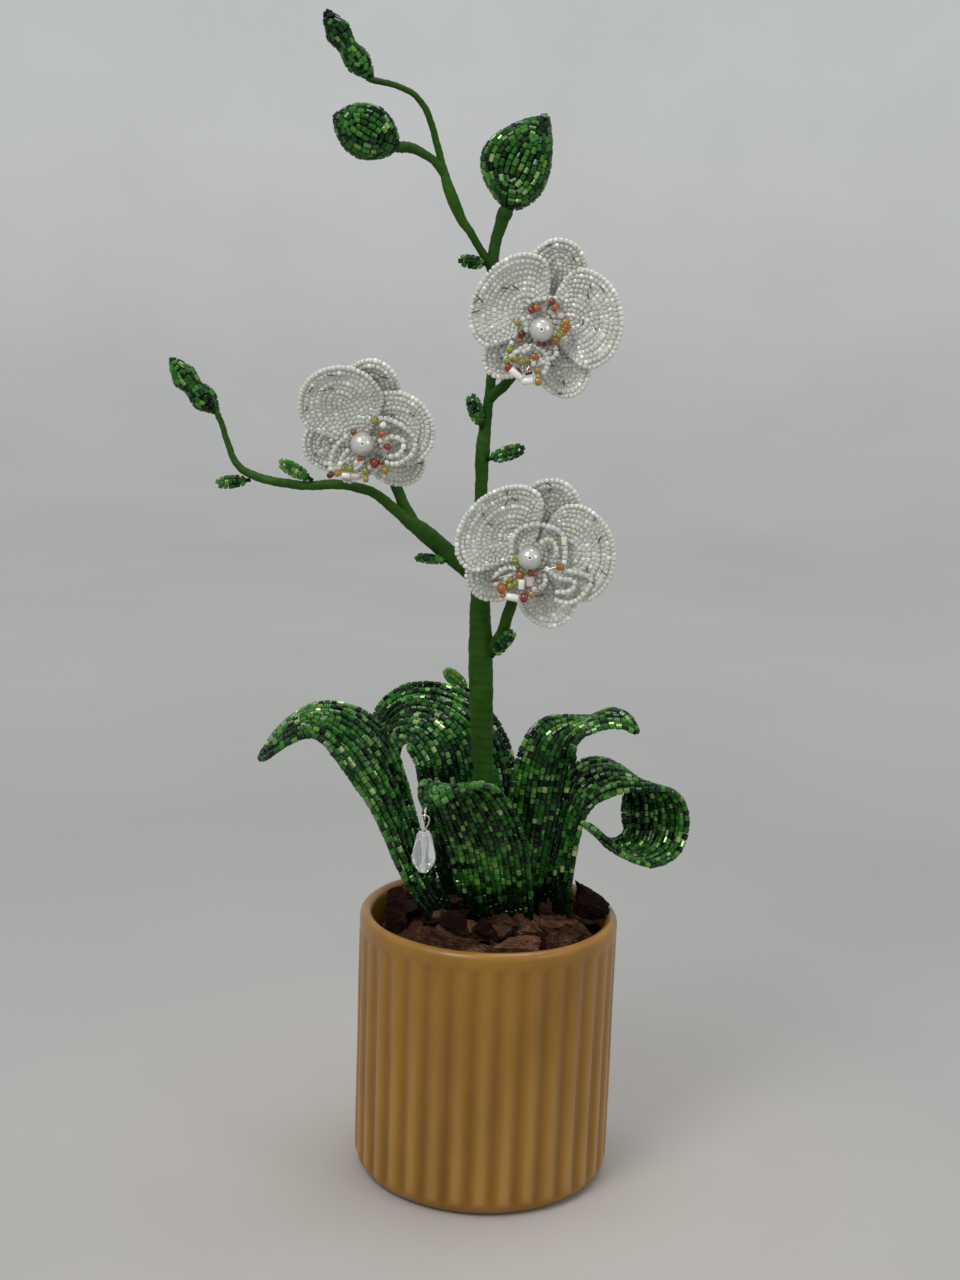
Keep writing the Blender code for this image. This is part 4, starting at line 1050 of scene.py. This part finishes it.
def build_leaf(name, stations, half, cup, base, seed):
    surf = LeafSurface(stations, half, cup, base)
    bead_r, pitch = 1.03, 1.99
    K = max(2, math.ceil((half - bead_r) / pitch - .15))
    step = (half - bead_r) / K
    L = surf.length - bead_r
    bw = Beadwork(name + "_beads", GREENS, seed)
    # beads below 113 mm take painted shade
    pick = pick_green(-0.20 if name == "leaf_back" else 0.10, seed * 1.7, 113)
    rng = random.Random(seed)
    ts = 1 - (1 - np.linspace(0, 1, 70)) ** 1.7
    for k in range(K + 1):
        Lk = L - (K - k) * step
        if k == 0:
            Lk = L - K * step + step * .4
        phase = rng.uniform(0, 6)
        side = []
        for t in ts:
            wid = leaf_width(t, base)
            gap = step * wid
            amp = 0.5 * math.sqrt(max((2 * bead_r) ** 2 - gap * gap, 0)) * (0.75 if t < .8 else .3)
            lift = amp * (1 if k % 2 else -1) + 0.16 * math.sin(t * 9 + phase)
            w = 0.0 if k == 0 else half_width(k, K, step, wid, rng, t, phase)
            side.append((t * Lk, w, lift))
        if k == 0:
            bw.row([surf.at(s, w, l) for s, w, l in side], "cut", bead_r, (1.9, 2.7), pick, 7)
            continue
        path = [surf.at(s, w, l) for s, w, l in side] + [surf.at(s, -w, l) for s, w, l in reversed(side[:-1])]
        bw.row(path, "cut", bead_r, (1.9, 2.7), pick, 7)
    # a dark sheet inside the leaf paints the shade between the rows and closes the gaps between them
    m, cols = 64, 2 * K + 1
    for side_ in (-1, 1):
        for i in range(m + 1):
            t = .985 * i / m
            for j in range(cols):
                w = (2 * j / (cols - 1) - 1) * (K - .45) * step * leaf_width(t, base)
                bw.verts.append(surf.at(t * L, w, .14 * side_))
    o, sheet = bw.count, (m + 1) * cols
    bw.count += 2 * sheet
    for i in range(m):
        for j in range(cols - 1):
            a = o + i * cols + j
            bw.faces.append((a, a + cols, a + cols + 1, a + 1))
            a += sheet
            bw.faces.append((a + 1, a + cols + 1, a + cols, a))
            bw.index += [0, 0]
        for j, turn in ((0, False), (cols - 1, True)):
            a = o + i * cols + j
            f = (a, a + sheet, a + sheet + cols, a + cols)
            bw.faces.append(tuple(reversed(f)) if turn else f)
            bw.index.append(0)
    for i, turn in ((0, True), (m, False)):
        for j in range(cols - 1):
            a = o + i * cols + j
            f = (a, a + sheet, a + sheet + 1, a + 1)
            bw.faces.append(tuple(reversed(f)) if turn else f)
            bw.index.append(0)
    ob = bw.build()
    return settle(ob, [name])


def half_width(k, K, step, wid, rng, t, phase):
    return k * step * wid + 0.10 * math.sin(t * 14 + phase) * min(1, (1 - t) * 6)


def build_leaflet(name, base, tip, half, seed):
    a, b = Vector(base), Vector(tip)
    axis = b - a
    length = axis.length
    axis.normalize()
    side = Vector((0, 1, 0)).cross(axis).normalized()
    front = axis.cross(side)
    bw = Beadwork(name + "_beads", GREENS, seed)
    pick = pick_green(0.52, seed * .9)
    rng = random.Random(seed)
    r = 0.93
    # one closed loop round a short middle row, which leaves a small eye at the tip
    wide = half - r
    pts = []
    for i in range(41):
        th = math.pi * i / 40
        pts.append((0.5 - 0.5 * math.cos(th), math.sin(th) ** .7))
    path = [a + axis * (t * (length - r)) + side * (wide * w) for t, w in pts]
    back = [a + axis * (t * (length - r)) - side * (wide * w) for t, w in reversed(pts[:-1])]
    bw.row([tuple(p) for p in path + back], "cut", r * 1.02, (1.5, 2.2), pick, 7)
    for sign, reach, off in ((1, .84, .45), (-1, .78, .55)):
        mid = [a + axis * (t * (length - r)) + front * (sign * off * math.sin(math.pi * t))
               for t in np.linspace(.05, reach, 12)]
        bw.row([tuple(p) for p in mid], "cut", r * 1.08, (1.5, 2.2), pick, 7)
    # the twisted wire tail, taped where it meets the stem
    tail = [a - axis * 2.4, a - axis * 1.0, a + axis * .6]
    bw.wire([tuple(p) for p in tail], 0.75, 0, 8)
    ob = bw.build()
    return settle(ob, [name])


def build_bud(name, base, tip, half, depth, shape, bow, seed):
    a, b = Vector(base), Vector(tip)
    axis = (b - a).normalized()
    side = Vector((0, 1, 0)).cross(axis).normalized()
    front = axis.cross(side)
    r = 0.95 if half > 6 else 0.85

    def girth(t):
        t = min(max(t, 0.0), 1.0)
        if shape == "double":
            return math.sin(math.pi * t) ** 0.45 * (0.86 - 0.2 * math.cos(4 * math.pi * t) * (1 if t < .75 else .3))
        if shape == "drop":
            return math.sin(math.pi * t ** 0.82) ** 0.8 * (1 - 0.12 * t)
        return math.sin(math.pi * t) ** 0.6

    def at(t, phi, inset=0.0):
        g = girth(t)
        h, d = max(half - inset, .1), max(depth - inset, .1)
        return a + (b - a) * t + side * (math.sin(phi) * g * h - bow * math.sin(math.pi * t)) + \
            front * (math.cos(phi) * g * d)

    bw = Beadwork(name + "_beads", GREENS, seed)
    pick = pick_green(0.06, seed * 1.3, None, 0.05)
    arc = math.pi / 2 * math.sqrt((half ** 2 + depth ** 2) / 2)
    K = max(2, round(arc / (2 * r + .12)))
    for face in (0, 1):
        turn = math.pi * face
        lean = 0.16 * (1 if face == 0 else -1)
        for k in range(0, K + (1 - face)):
            f = k / K
            reach = 0.34 + 0.66 * f ** 0.8
            pts = []
            for i in range(61):
                th = math.pi * i / 60
                t = 0.5 - 0.5 * math.cos(th) * reach
                phi = f * (math.pi / 2) * min(1, math.sin(th) ** .55 + (0.0 if k == K else .02))
                pts.append((t, phi))
            if k == 0:
                path = [at(t, turn + lean * (t - .5), r) for t, _ in pts]
            else:
                path = [at(t, turn + p + lean * (1 - f) * (t - .5), r) for t, p in pts] + \
                       [at(t, turn - p + lean * (1 - f) * (t - .5), r) for t, p in reversed(pts[:-1])]
            bw.row([tuple(p) for p in path], "cut", r, (1.9, 3.0), pick, 7)
    # a dark core inside the bud, seen only in the gaps
    n, m = 18, 14
    base_i = bw.count
    for i in range(n + 1):
        t = .04 + .9 * i / n
        for j in range(m):
            bw.verts.append(np.array(at(t, 2 * math.pi * j / m, r * 2.3)))
    bw.count += (n + 1) * m
    for i in range(n):
        for j in range(m):
            p, q = base_i + i * m + j, base_i + i * m + (j + 1) % m
            bw.faces.append((p, q, q + m, p + m))
            bw.index.append(0)
    bw.faces.append(tuple(base_i + j for j in reversed(range(m))))
    bw.faces.append(tuple(base_i + n * m + j for j in range(m)))
    bw.index += [0, 0]
    ob = bw.build()
    return settle(ob, [name])


# =================================================================================
# flowers
# =================================================================================

def flower_frame(spec):
    n = Vector(spec["face"]).normalized()
    up = (Vector((0, 0, 1)) - n.z * n).normalized()
    return Vector(spec["centre"]), n, up, up.cross(n)


def petal_width(s, length, half, root=2.0):
    c = 0.52 * length
    if s < c:
        return root + (half - root) * math.sin(math.pi / 2 * max(s, 0) / c) ** 1.35
    return half * math.sqrt(max(1 - ((s - c) / (length - c)) ** 2, 0))


def pick_clear(seed):
    def pick(p, rng):
        v = noise.noise(Vector(p) * 0.16 + Vector((seed, 0, 0))) + rng.gauss(0, .35)
        q = rng.random()
        # about one bead in twenty is near-white, partly a white bead and partly a painted glint
        if q < .05:
            return 3
        if q < .11:
            return 7
        return 0 if v < .05 else (1 if v < .42 else 2)
    return pick


def build_petal(fl, part, spec, angle, length, half, lift, start, seed):
    o, n, up, right = flower_frame(spec)
    a = math.radians(angle)
    along = right * math.cos(a) + up * math.sin(a)
    across = n.cross(along)
    rng = random.Random(seed)
    r, pitch = 0.85, 1.62
    K = max(3, round((half - r) / pitch))
    step = (half - r) / K
    L = length * .985 - r
    bw = Beadwork(f"{fl}_{part}_beads", CLEARS, seed)
    pick = pick_clear(seed)

    def at(s, w, extra=0.0):
        d = math.hypot(s, w)
        ripple = 0.35 * math.sin(d * .5 + seed) * (d / 27)
        return o + along * s + across * w + n * (lift + FLOWER_CUP * (d / 27) ** 2 + extra + ripple)

    ts = 1 - (1 - np.linspace(0, 1, 60)) ** 1.7
    for k in range(K + 1):
        cut = (K - k) * step
        Lk = L - cut
        phase = rng.uniform(0, 6)
        pts = []
        for t in ts:
            s = start + t * (Lk - start)
            wid = petal_width((start + t * (L - start)), L, half - r, 1.6) / (half - r)
            w = k * step * wid
            gap = step * wid
            # rows that no longer fit side by side near the root are laid behind one another
            m = 1 if gap > .62 * pitch or t > .42 else (2 if gap > .30 * pitch else 4)
            if k % m:
                continue
            amp = .5 * math.sqrt(max((2 * r * .9) ** 2 - (gap * m) ** 2, 0)) * .6
            pts.append((s, w + .06 * math.sin(t * 17 + phase), (amp if (k // m) % 2 else -amp) * .5
                        + .10 * math.sin(t * 11 + phase)))
        if len(pts) < 4:
            continue
        if k == 0:
            bw.row([tuple(at(s, 0, e)) for s, w, e in pts], "seed", r, (1.35, 1.85), pick, 4, .13, .05)
            continue
        if pts[-1][1] > step * 1.2:
            continue
        path = [at(s, w, e) for s, w, e in pts] + [at(s, -w, e) for s, w, e in reversed(pts[:-1])]
        bw.row([tuple(p) for p in path], "seed", r, (1.35, 1.85), pick, 4, .13, .05)
    # a pale sheet inside the rows paints light into the gaps between the beads
    m, cols = 40, 2 * K + 1
    o_ = bw.count
    for side_ in (-1, 1):
        for i in range(m + 1):
            sv = start + 1 + (L - start - 1.5) * i / m
            for j in range(cols):
                wv = (2 * j / (cols - 1) - 1) * .95 * petal_width(sv + .3, L, half - r, 1.6)
                bw.verts.append(np.array(at(sv, wv, .13 * side_)))
    sheet = (m + 1) * cols
    bw.count += 2 * sheet
    for i in range(m):
        for j in range(cols - 1):
            p = o_ + i * cols + j
            bw.faces.append((p, p + 1, p + cols + 1, p + cols))
            p += sheet
            bw.faces.append((p, p + cols, p + cols + 1, p + 1))
            bw.index += [6, 6]
        for j, turn in ((0, False), (cols - 1, True)):
            p = o_ + i * cols + j
            f = (p, p + cols, p + sheet + cols, p + sheet)
            bw.faces.append(tuple(reversed(f)) if turn else f)
            bw.index.append(6)
    for i, turn in ((0, True), (m, False)):
        for j in range(cols - 1):
            p = o_ + i * cols + j
            f = (p, p + 1, p + sheet + 1, p + sheet)
            bw.faces.append(f if turn else tuple(reversed(f)))
            bw.index.append(6)
    # ends of the lacing wire that show as short dark strokes
    for _ in range(5 if half > 12.5 else 3):
        t, v = rng.uniform(.45, .93), rng.uniform(-.9, .9)
        s = t * L
        w = v * petal_width(s, L, half - r)
        q = rng.uniform(0, 6.28)
        d = Vector((math.cos(q), math.sin(q), 0)) * rng.uniform(.8, 1.5)
        pts = [at(s + d.x * e, w + d.y * e, r * 1.05 + .25 * (1 - abs(e))) for e in (-1, -.4, .3, 1)]
        bw.wire([tuple(p) for p in pts], .17, 5)
    ob = bw.build()
    return settle(ob, [f"{fl}_{part}"])


def build_pearl(fl, spec):
    o, n, up, right = flower_frame(spec)
    px, pz, pn = spec["pearl"]
    c = o + right * px + up * pz + n * pn
    # the drilled hole looks straight forward
    hole = (Vector((-6.6, -630, 320)) - c).normalized()
    x = up.cross(hole).normalized()
    y = hole.cross(x)
    prof = []
    R, h = PEARL_R, 0.42
    a0 = math.asin(h / R)
    prof += [(h * .86, R * math.cos(a0) - 1.8), (h * .90, R * math.cos(a0) - .35), (h * .97, R * math.cos(a0) - .06)]
    for i in range(27):
        a = a0 + (math.pi - 2 * a0) * i / 26
        k = 1 + 0.006 * math.sin(3 * a)
        prof.append((R * math.sin(a) * k, R * math.cos(a)))
    prof += [(h * .9, -R * math.cos(a0) + .4)]
    sides = 36
    verts, faces = [], []
    for r, z in prof:
        for j in range(sides):
            t = 2 * math.pi * j / sides
            verts.append(tuple(c + x * (r * math.cos(t)) + y * (r * math.sin(t)) + hole * z))
    for i in range(len(prof) - 1):
        for j in range(sides):
            p, q = i * sides + j, i * sides + (j + 1) % sides
            faces.append((p, p + sides, q + sides, q))
    faces.append(tuple(range(sides)))
    faces.append(tuple((len(prof) - 1) * sides + j for j in reversed(range(sides))))
    ob = mesh_from(f"{fl}_pearl_bead", verts, faces, [PEARL, WIRE], True)
    ob.data.set_sharp_from_angle(angle=math.radians(50))
    settle(ob, [f"{fl}_pearl"])
    # a small crimp bead in the hole
    bw = Beadwork(f"{fl}_pearl_pin", [WIRE, CLEARS[3]], 3)
    ring = [tuple(c + hole * (R + .02) + x * (.66 * math.cos(t)) + y * (.66 * math.sin(t)))
            for t in np.linspace(0, 2 * math.pi, 20, endpoint=False)]
    bw.wire(ring, .21, 1, 8, closed=True)
    back = [tuple(c - hole * d + up * e) for d, e in ((R - .6, 0), (R + 1.5, -.2), (R + 3.4, -.8), (R + 5.4, -1.2))]
    bw.wire(back, .3, 0, 6)
    settle(bw.build())


def build_lip(fl, spec, seed):
    o, n, up, right = flower_frame(spec)
    px, pz, pn = spec["pearl"]
    c = o + right * px + up * pz + n * pn
    names = list(ACCENT_MATS)
    mats = [ACCENT_MATS[k] for k in names]
    wire = len(mats)
    mats += [CLEARS[4], CLEARS[1], CLEARS[3], CLEARS[2]]
    bw = Beadwork(f"{fl}_lip_beads", mats, seed)
    rng = random.Random(seed)

    def at(p):
        return np.array(c + right * p[0] + up * p[1] + n * p[2])

    clear_i = names.index("clear")

    def pick(p, g):
        q = g.random()
        # one bead in twenty-five is the near-white one, partly a painted glint
        return clear_i if q < .58 else (wire + 1 if q < .80 else (wire + 3 if q < .96 else wire + 2))

    for item in ACCENTS[fl]:
        kind, colour, r = item[:3]
        slot = names.index(colour)
        if kind == "round":
            p = at(item[3])
            # each bead sits on a wire that circles the pearl
            radial = p - np.array(c)
            ax = np.cross(radial, np.array(n)) + np.array([rng.gauss(0, .9) for _ in range(3)])
            bw.bead("round", p, ax, r * 1.14, r * 1.75, slot)
        else:
            p, q = at(item[3]), at(item[4])
            bw.bead("tube", (p + q) / 2, q - p, r, float(np.linalg.norm(q - p)), slot)
    for thread in HOODS[fl]:
        pts, _ = spline([tuple(at(p)) for p in thread], 40)
        bw.row(pts, "seed", .92, (1.6, 2.2), pick, wire, .14)
    # the lip's own wires: from the stalk out under the pearl, through the coloured beads
    rounds = [it[3] for it in ACCENTS[fl]]
    ordered = sorted(rounds, key=lambda p: math.atan2(p[1], p[0]))
    ring = [tuple(at(p)) for p in ordered if math.hypot(p[0], p[1]) < 10.5]
    if len(ring) > 4:
        pts, _ = spline(ring, len(ring) * 7)
        bw.wire(pts, .15, wire)
    low = sorted([p for p in rounds if p[1] < -7], key=lambda p: p[0])
    if len(low) > 3:
        pts, _ = spline([tuple(at(p)) for p in low], len(low) * 7)
        bw.wire(pts, .15, wire)
        for p in low[::2]:
            pts, _ = spline([tuple(at((p[0] * .15, -3.6, -3.5))), tuple(at((p[0] * .5, p[1] * .5 - 2, -1.6))),
                             tuple(at(p))], 9)
            bw.wire(pts, .15, wire)
    # a coil of clear beads closes the flower's heart behind the pearl
    coil = []
    for i in range(90):
        q = i / 89
        t, d = q * 2 * math.pi * 3.1, .5 + 4.6 * q
        coil.append(tuple(np.array(o + right * (d * math.cos(t)) + up * (d * math.sin(t)) + n * (5.6 - .12 * d))))
    bw.row(coil, "seed", .86, (1.5, 2.1), pick, wire, .14)
    # nested loops of clear beads make the lip's body
    lx, ln = spec["lip"]
    for j in range(3):
        f = (j + 1) / 3
        pts = []
        for i in range(41):
            th = math.pi * (i / 40) * 2 - math.pi / 2
            u = .5 - .5 * math.cos(math.pi * i / 40 * 1.0)
            v = math.sin(2 * math.pi * i / 40)
            u = math.sin(math.pi * i / 40) * (.45 + .55 * f)
            w = (4.2 + 3.0 * math.sin(math.pi * min(u * 1.25, 1))) * math.cos(math.pi * i / 40) * f
            drop = -PEARL_R - 1.4 - 8.6 * u
            pts.append(tuple(at((lx * u + w, drop, -2.4 + ln * u + 2.2 * (w / 7) ** 2))))
        bw.row(pts, "seed", .86, (1.5, 2.1), pick, wire, .14)
    ob = bw.build()
    return settle(ob, [f"{fl}_lip"])


def build_flowers():
    for i, (fl, spec) in enumerate(FLOWERS.items()):
        for j, (part, (ang, length, half)) in enumerate(spec["back"].items()):
            build_petal(fl, part, spec, ang, length, half, LIFT[part], 1.6, 100 + i * 20 + j)
        for j, (part, (ang, length, half)) in enumerate(spec["front"].items()):
            build_petal(fl, part, spec, ang, length, half, LIFT[part], 1.2, 110 + i * 20 + j)
        build_pearl(fl, spec)
        build_lip(fl, spec, 200 + i)


# =================================================================================
# crystal drop
# =================================================================================

def build_drop():
    px, py, pz = PIVOT
    # long facets that widen downwards, with short ones above and below
    bm = bmesh.new()
    sides = 8
    hole = .62
    rings = [(hole, DROP_TOP - .25, 0), (1.35, DROP_TOP, 0), (1.95, DROP_TOP - .30, 0), (2.45, DROP_TOP - 1.2, .5),
             (4.22, DROP_TOP - 8.2, 0), (4.28, DROP_TOP - 8.8, 0), (3.72, DROP_TOP - 11.0, .5),
             (1.9, DROP_TOP - DROP_H + .6, 0), (1.35, DROP_TOP - DROP_H + .05, 0), (hole, DROP_TOP - DROP_H + .15, 0)]
    rows = []
    for r, z, off in rings:
        rows.append([bm.verts.new(((px + r * math.cos(2 * math.pi * (i + off + .5) / sides)) * MM,
                                   (py + r * math.sin(2 * math.pi * (i + off + .5) / sides)) * MM, (pz + z) * MM))
                     for i in range(sides)])
    offs = [o for _, _, o in rings]
    for k in range(len(rows) - 1):
        a, b = rows[k], rows[k + 1]
        for i in range(sides):
            n = (i + 1) % sides
            if offs[k] == offs[k + 1]:
                bm.faces.new((a[i], a[n], b[n], b[i]))
            elif offs[k + 1] > offs[k]:
                bm.faces.new((a[i], a[n], b[i]))
                bm.faces.new((b[i], a[n], b[n]))
            else:
                bm.faces.new((a[i], b[n], b[i]))
                bm.faces.new((a[i], a[n], b[n]))
    # the drilled hole through its length
    top, bot = rows[0], rows[-1]
    for i in range(sides):
        n = (i + 1) % sides
        bm.faces.new((top[n], top[i], bot[i], bot[n]))
    bmesh.ops.recalc_face_normals(bm, faces=bm.faces)
    bmesh.ops.bevel(bm, geom=[e for e in bm.edges if e.is_manifold and e.calc_face_angle(0) > .25],
                    offset=.00007, segments=1, affect='EDGES')
    me = bpy.data.meshes.new("crystal_drop_cut")
    bm.to_mesh(me)
    bm.free()
    me.materials.append(CRYSTAL)
    ob = link("crystal_drop_cut", me)
    settle(ob, ["crystal_drop"], "drop")

    # the loop: two strands come up through the drop and open round the pivot
    bw = Beadwork("drop_loop_wire", [WIRE], 5)
    rows = [(-.28, DROP_TOP - 4.0), (-.28, DROP_TOP - 1.2), (-.40, DROP_TOP + .5), (-.95, DROP_TOP + 1.6),
            (-1.42, -1.1)]
    rows += [(1.5 * math.cos(math.radians(a)), 1.5 * math.sin(math.radians(a))) for a in range(195, -31, -25)]
    rows += [(1.25, -1.4), (.80, -2.4), (.40, DROP_TOP + .5), (.28, DROP_TOP - 1.2), (.28, DROP_TOP - 4.0)]
    pts, _ = spline([(px + x, py, pz + z) for x, z in rows], 90)
    bw.wire(pts, .23, 0, 10)
    # one turn of wire closes its neck
    coil = [(px + .5 * math.cos(a), py + .5 * math.sin(a), pz + DROP_TOP + .35 + .75 * a / (4.2 * math.pi))
            for a in np.linspace(0, 4.2 * math.pi, 46)]
    bw.wire(coil, .17, 0, 8)
    settle(bw.build(), ["drop_loop"], "drop")

    # the eye on the leaf's tip, with its wires twisted back into the beads
    bw = Beadwork("leaf_tip_eye", [WIRE], 6)
    rows = [(1.1 * math.sin(math.radians(a)), 1.1 - 1.1 * math.cos(math.radians(a))) for a in range(-150, 151, 15)]
    pts, _ = spline([(px, py + y, pz + z) for y, z in rows], 60)
    bw.wire(pts, .24, 0, 10)
    tip = LEAVES["leaf_front"][0][-1][:3]
    top = np.array([px, py + .5, pz + 2.15])
    end = np.array(tip) + np.array([.6, 1.6, .8])
    d = end - top
    d /= np.linalg.norm(d)
    x = np.cross(d, [0, 0, 1])
    x /= np.linalg.norm(x)
    y = np.cross(d, x)
    for ph in (0, math.pi):
        tw = [tuple(top + (end - top) * t + (x * math.cos(ph + t * 14) + y * math.sin(ph + t * 14)) * .26)
              for t in np.linspace(0, 1, 50)]
        bw.wire(tw, .2, 0, 8)
    settle(bw.build(), ["drop_eye"], "plant")


# =================================================================================
# the leaves' stray wires at the soil
# =================================================================================

def build_stray_wire():
    bw = Beadwork("leaf_base_wire", [WIRE], 8)
    pts, _ = spline([(-14.5, -14.5, 95), (-15.4, -16.4, 97.6), (-13.2, -19, 97.2), (-11.4, -20.6, 95.2)], 24)
    bw.wire(pts, .22, 0, 8)
    settle(bw.build())


# =================================================================================
# stage, lights, camera
# =================================================================================

def build_stage():
    # one round sheet of studio paper: a floor that curves up on every side
    prof = [(0, 0), (.05, 0), (.12, 0), (.25, 0), (.45, 0), (.7, 0), (1.0, 0), (1.3, 0), (1.6, 0)]
    R = 0.9
    for i in range(1, 25):
        a = math.pi / 2 * i / 24
        prof.append((1.6 + R * math.sin(a), R - R * math.cos(a)))
    for z in (1.0, 1.15, 1.3):
        prof.append((1.6 + R, z))
    steps = 96
    verts, faces = [(0, 0, 0)], []
    for r, z in prof[1:]:
        for j in range(steps):
            a = 2 * math.pi * j / steps
            verts.append((r * math.cos(a) / MM, r * math.sin(a) / MM, z / MM))
    for j in range(steps):
        faces.append((0, 1 + j, 1 + (j + 1) % steps))
    for i in range(len(prof) - 2):
        for j in range(steps):
            a, b = 1 + i * steps + j, 1 + i * steps + (j + 1) % steps
            faces.append((a, a + steps, b + steps, b))
    ob = mesh_from("studio_sweep", verts, faces, [stage_material()], True)
    ob.location.z = -0.0002


def area(name, loc, target, size, power, colour=(1, 1, 1), size_y=None):
    li = bpy.data.lights.new(name, 'AREA')
    li.shape = 'RECTANGLE' if size_y else 'SQUARE'
    li.size = size
    if size_y:
        li.size_y = size_y
    li.energy = power
    li.color = colour
    ob = bpy.data.objects.new(name, li)
    bpy.context.scene.collection.objects.link(ob)
    ob.location = loc
    d = Vector(target) - Vector(loc)
    ob.rotation_euler = d.to_track_quat('-Z', 'Y').to_euler()
    return ob


def build_lights():
    w = bpy.data.worlds.new("soft_room")
    bpy.context.scene.world = w
    w.use_nodes = True
    bg = w.node_tree.nodes["Background"]
    bg.inputs["Color"].default_value = (0.83, 0.842, 0.85, 1)
    bg.inputs["Strength"].default_value = 0.80
    area("key_window", (-0.50, -0.70, 1.05), (0, 0, 0.2), 0.42, 6.8, (1.0, 0.99, 0.97), 0.6)
    area("fill_right", (0.95, -0.60, 0.60), (0, 0, 0.2), 0.5, 1.9, (0.98, 0.99, 1.0))
    area("top_soft", (0.12, 0.12, 1.20), (0, 0, 0.1), 0.5, 4.0, (1.0, 1.0, 1.0))


def build_camera():
    cam = bpy.data.cameras.new("photo_view")
    cam.sensor_fit = 'AUTO'
    cam.sensor_width = 36.0
    cam.lens = 52.0
    cam.clip_start = 0.01
    cam.clip_end = 20
    ob = bpy.data.objects.new("photo_view", cam)
    bpy.context.scene.collection.objects.link(ob)
    pitch, roll = math.radians(11.35), math.radians(2.06)
    fwd = Vector((0, math.cos(pitch), -math.sin(pitch)))
    right = Vector((1, 0, 0))
    up = right.cross(fwd)
    r = right * math.cos(roll) + up * math.sin(roll)
    u = -right * math.sin(roll) + up * math.cos(roll)
    m = Matrix((r, u, -fwd)).transposed().to_4x4()
    m.translation = Vector((-6.6, -630.3, 320.5)) * MM
    ob.matrix_world = m
    bpy.context.scene.camera = ob


def main():
    build_camera()
    build_lights()
    build_stage()
    build_pot()
    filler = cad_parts["filler_block"]
    filler.data.materials.clear()
    filler.data.materials.append(PLASTER)
    build_bark()
    build_stems()
    for i, (name, (stations, half, cup, base)) in enumerate(LEAVES.items()):
        build_leaf(name, stations, half, cup, base, 21 + i)
    for i, (name, (base, tip, half)) in enumerate(LEAFLETS.items()):
        build_leaflet(name, base, tip, half, 51 + i)
    for i, (name, (base, tip, half, depth, shape, bow)) in enumerate(BUDS.items()):
        build_bud(name, base, tip, half, depth, shape, bow, 71 + i)
    build_flowers()
    build_drop()
    build_stray_wire()
    scene = bpy.context.scene
    scene.view_settings.view_transform = 'Standard'


main()
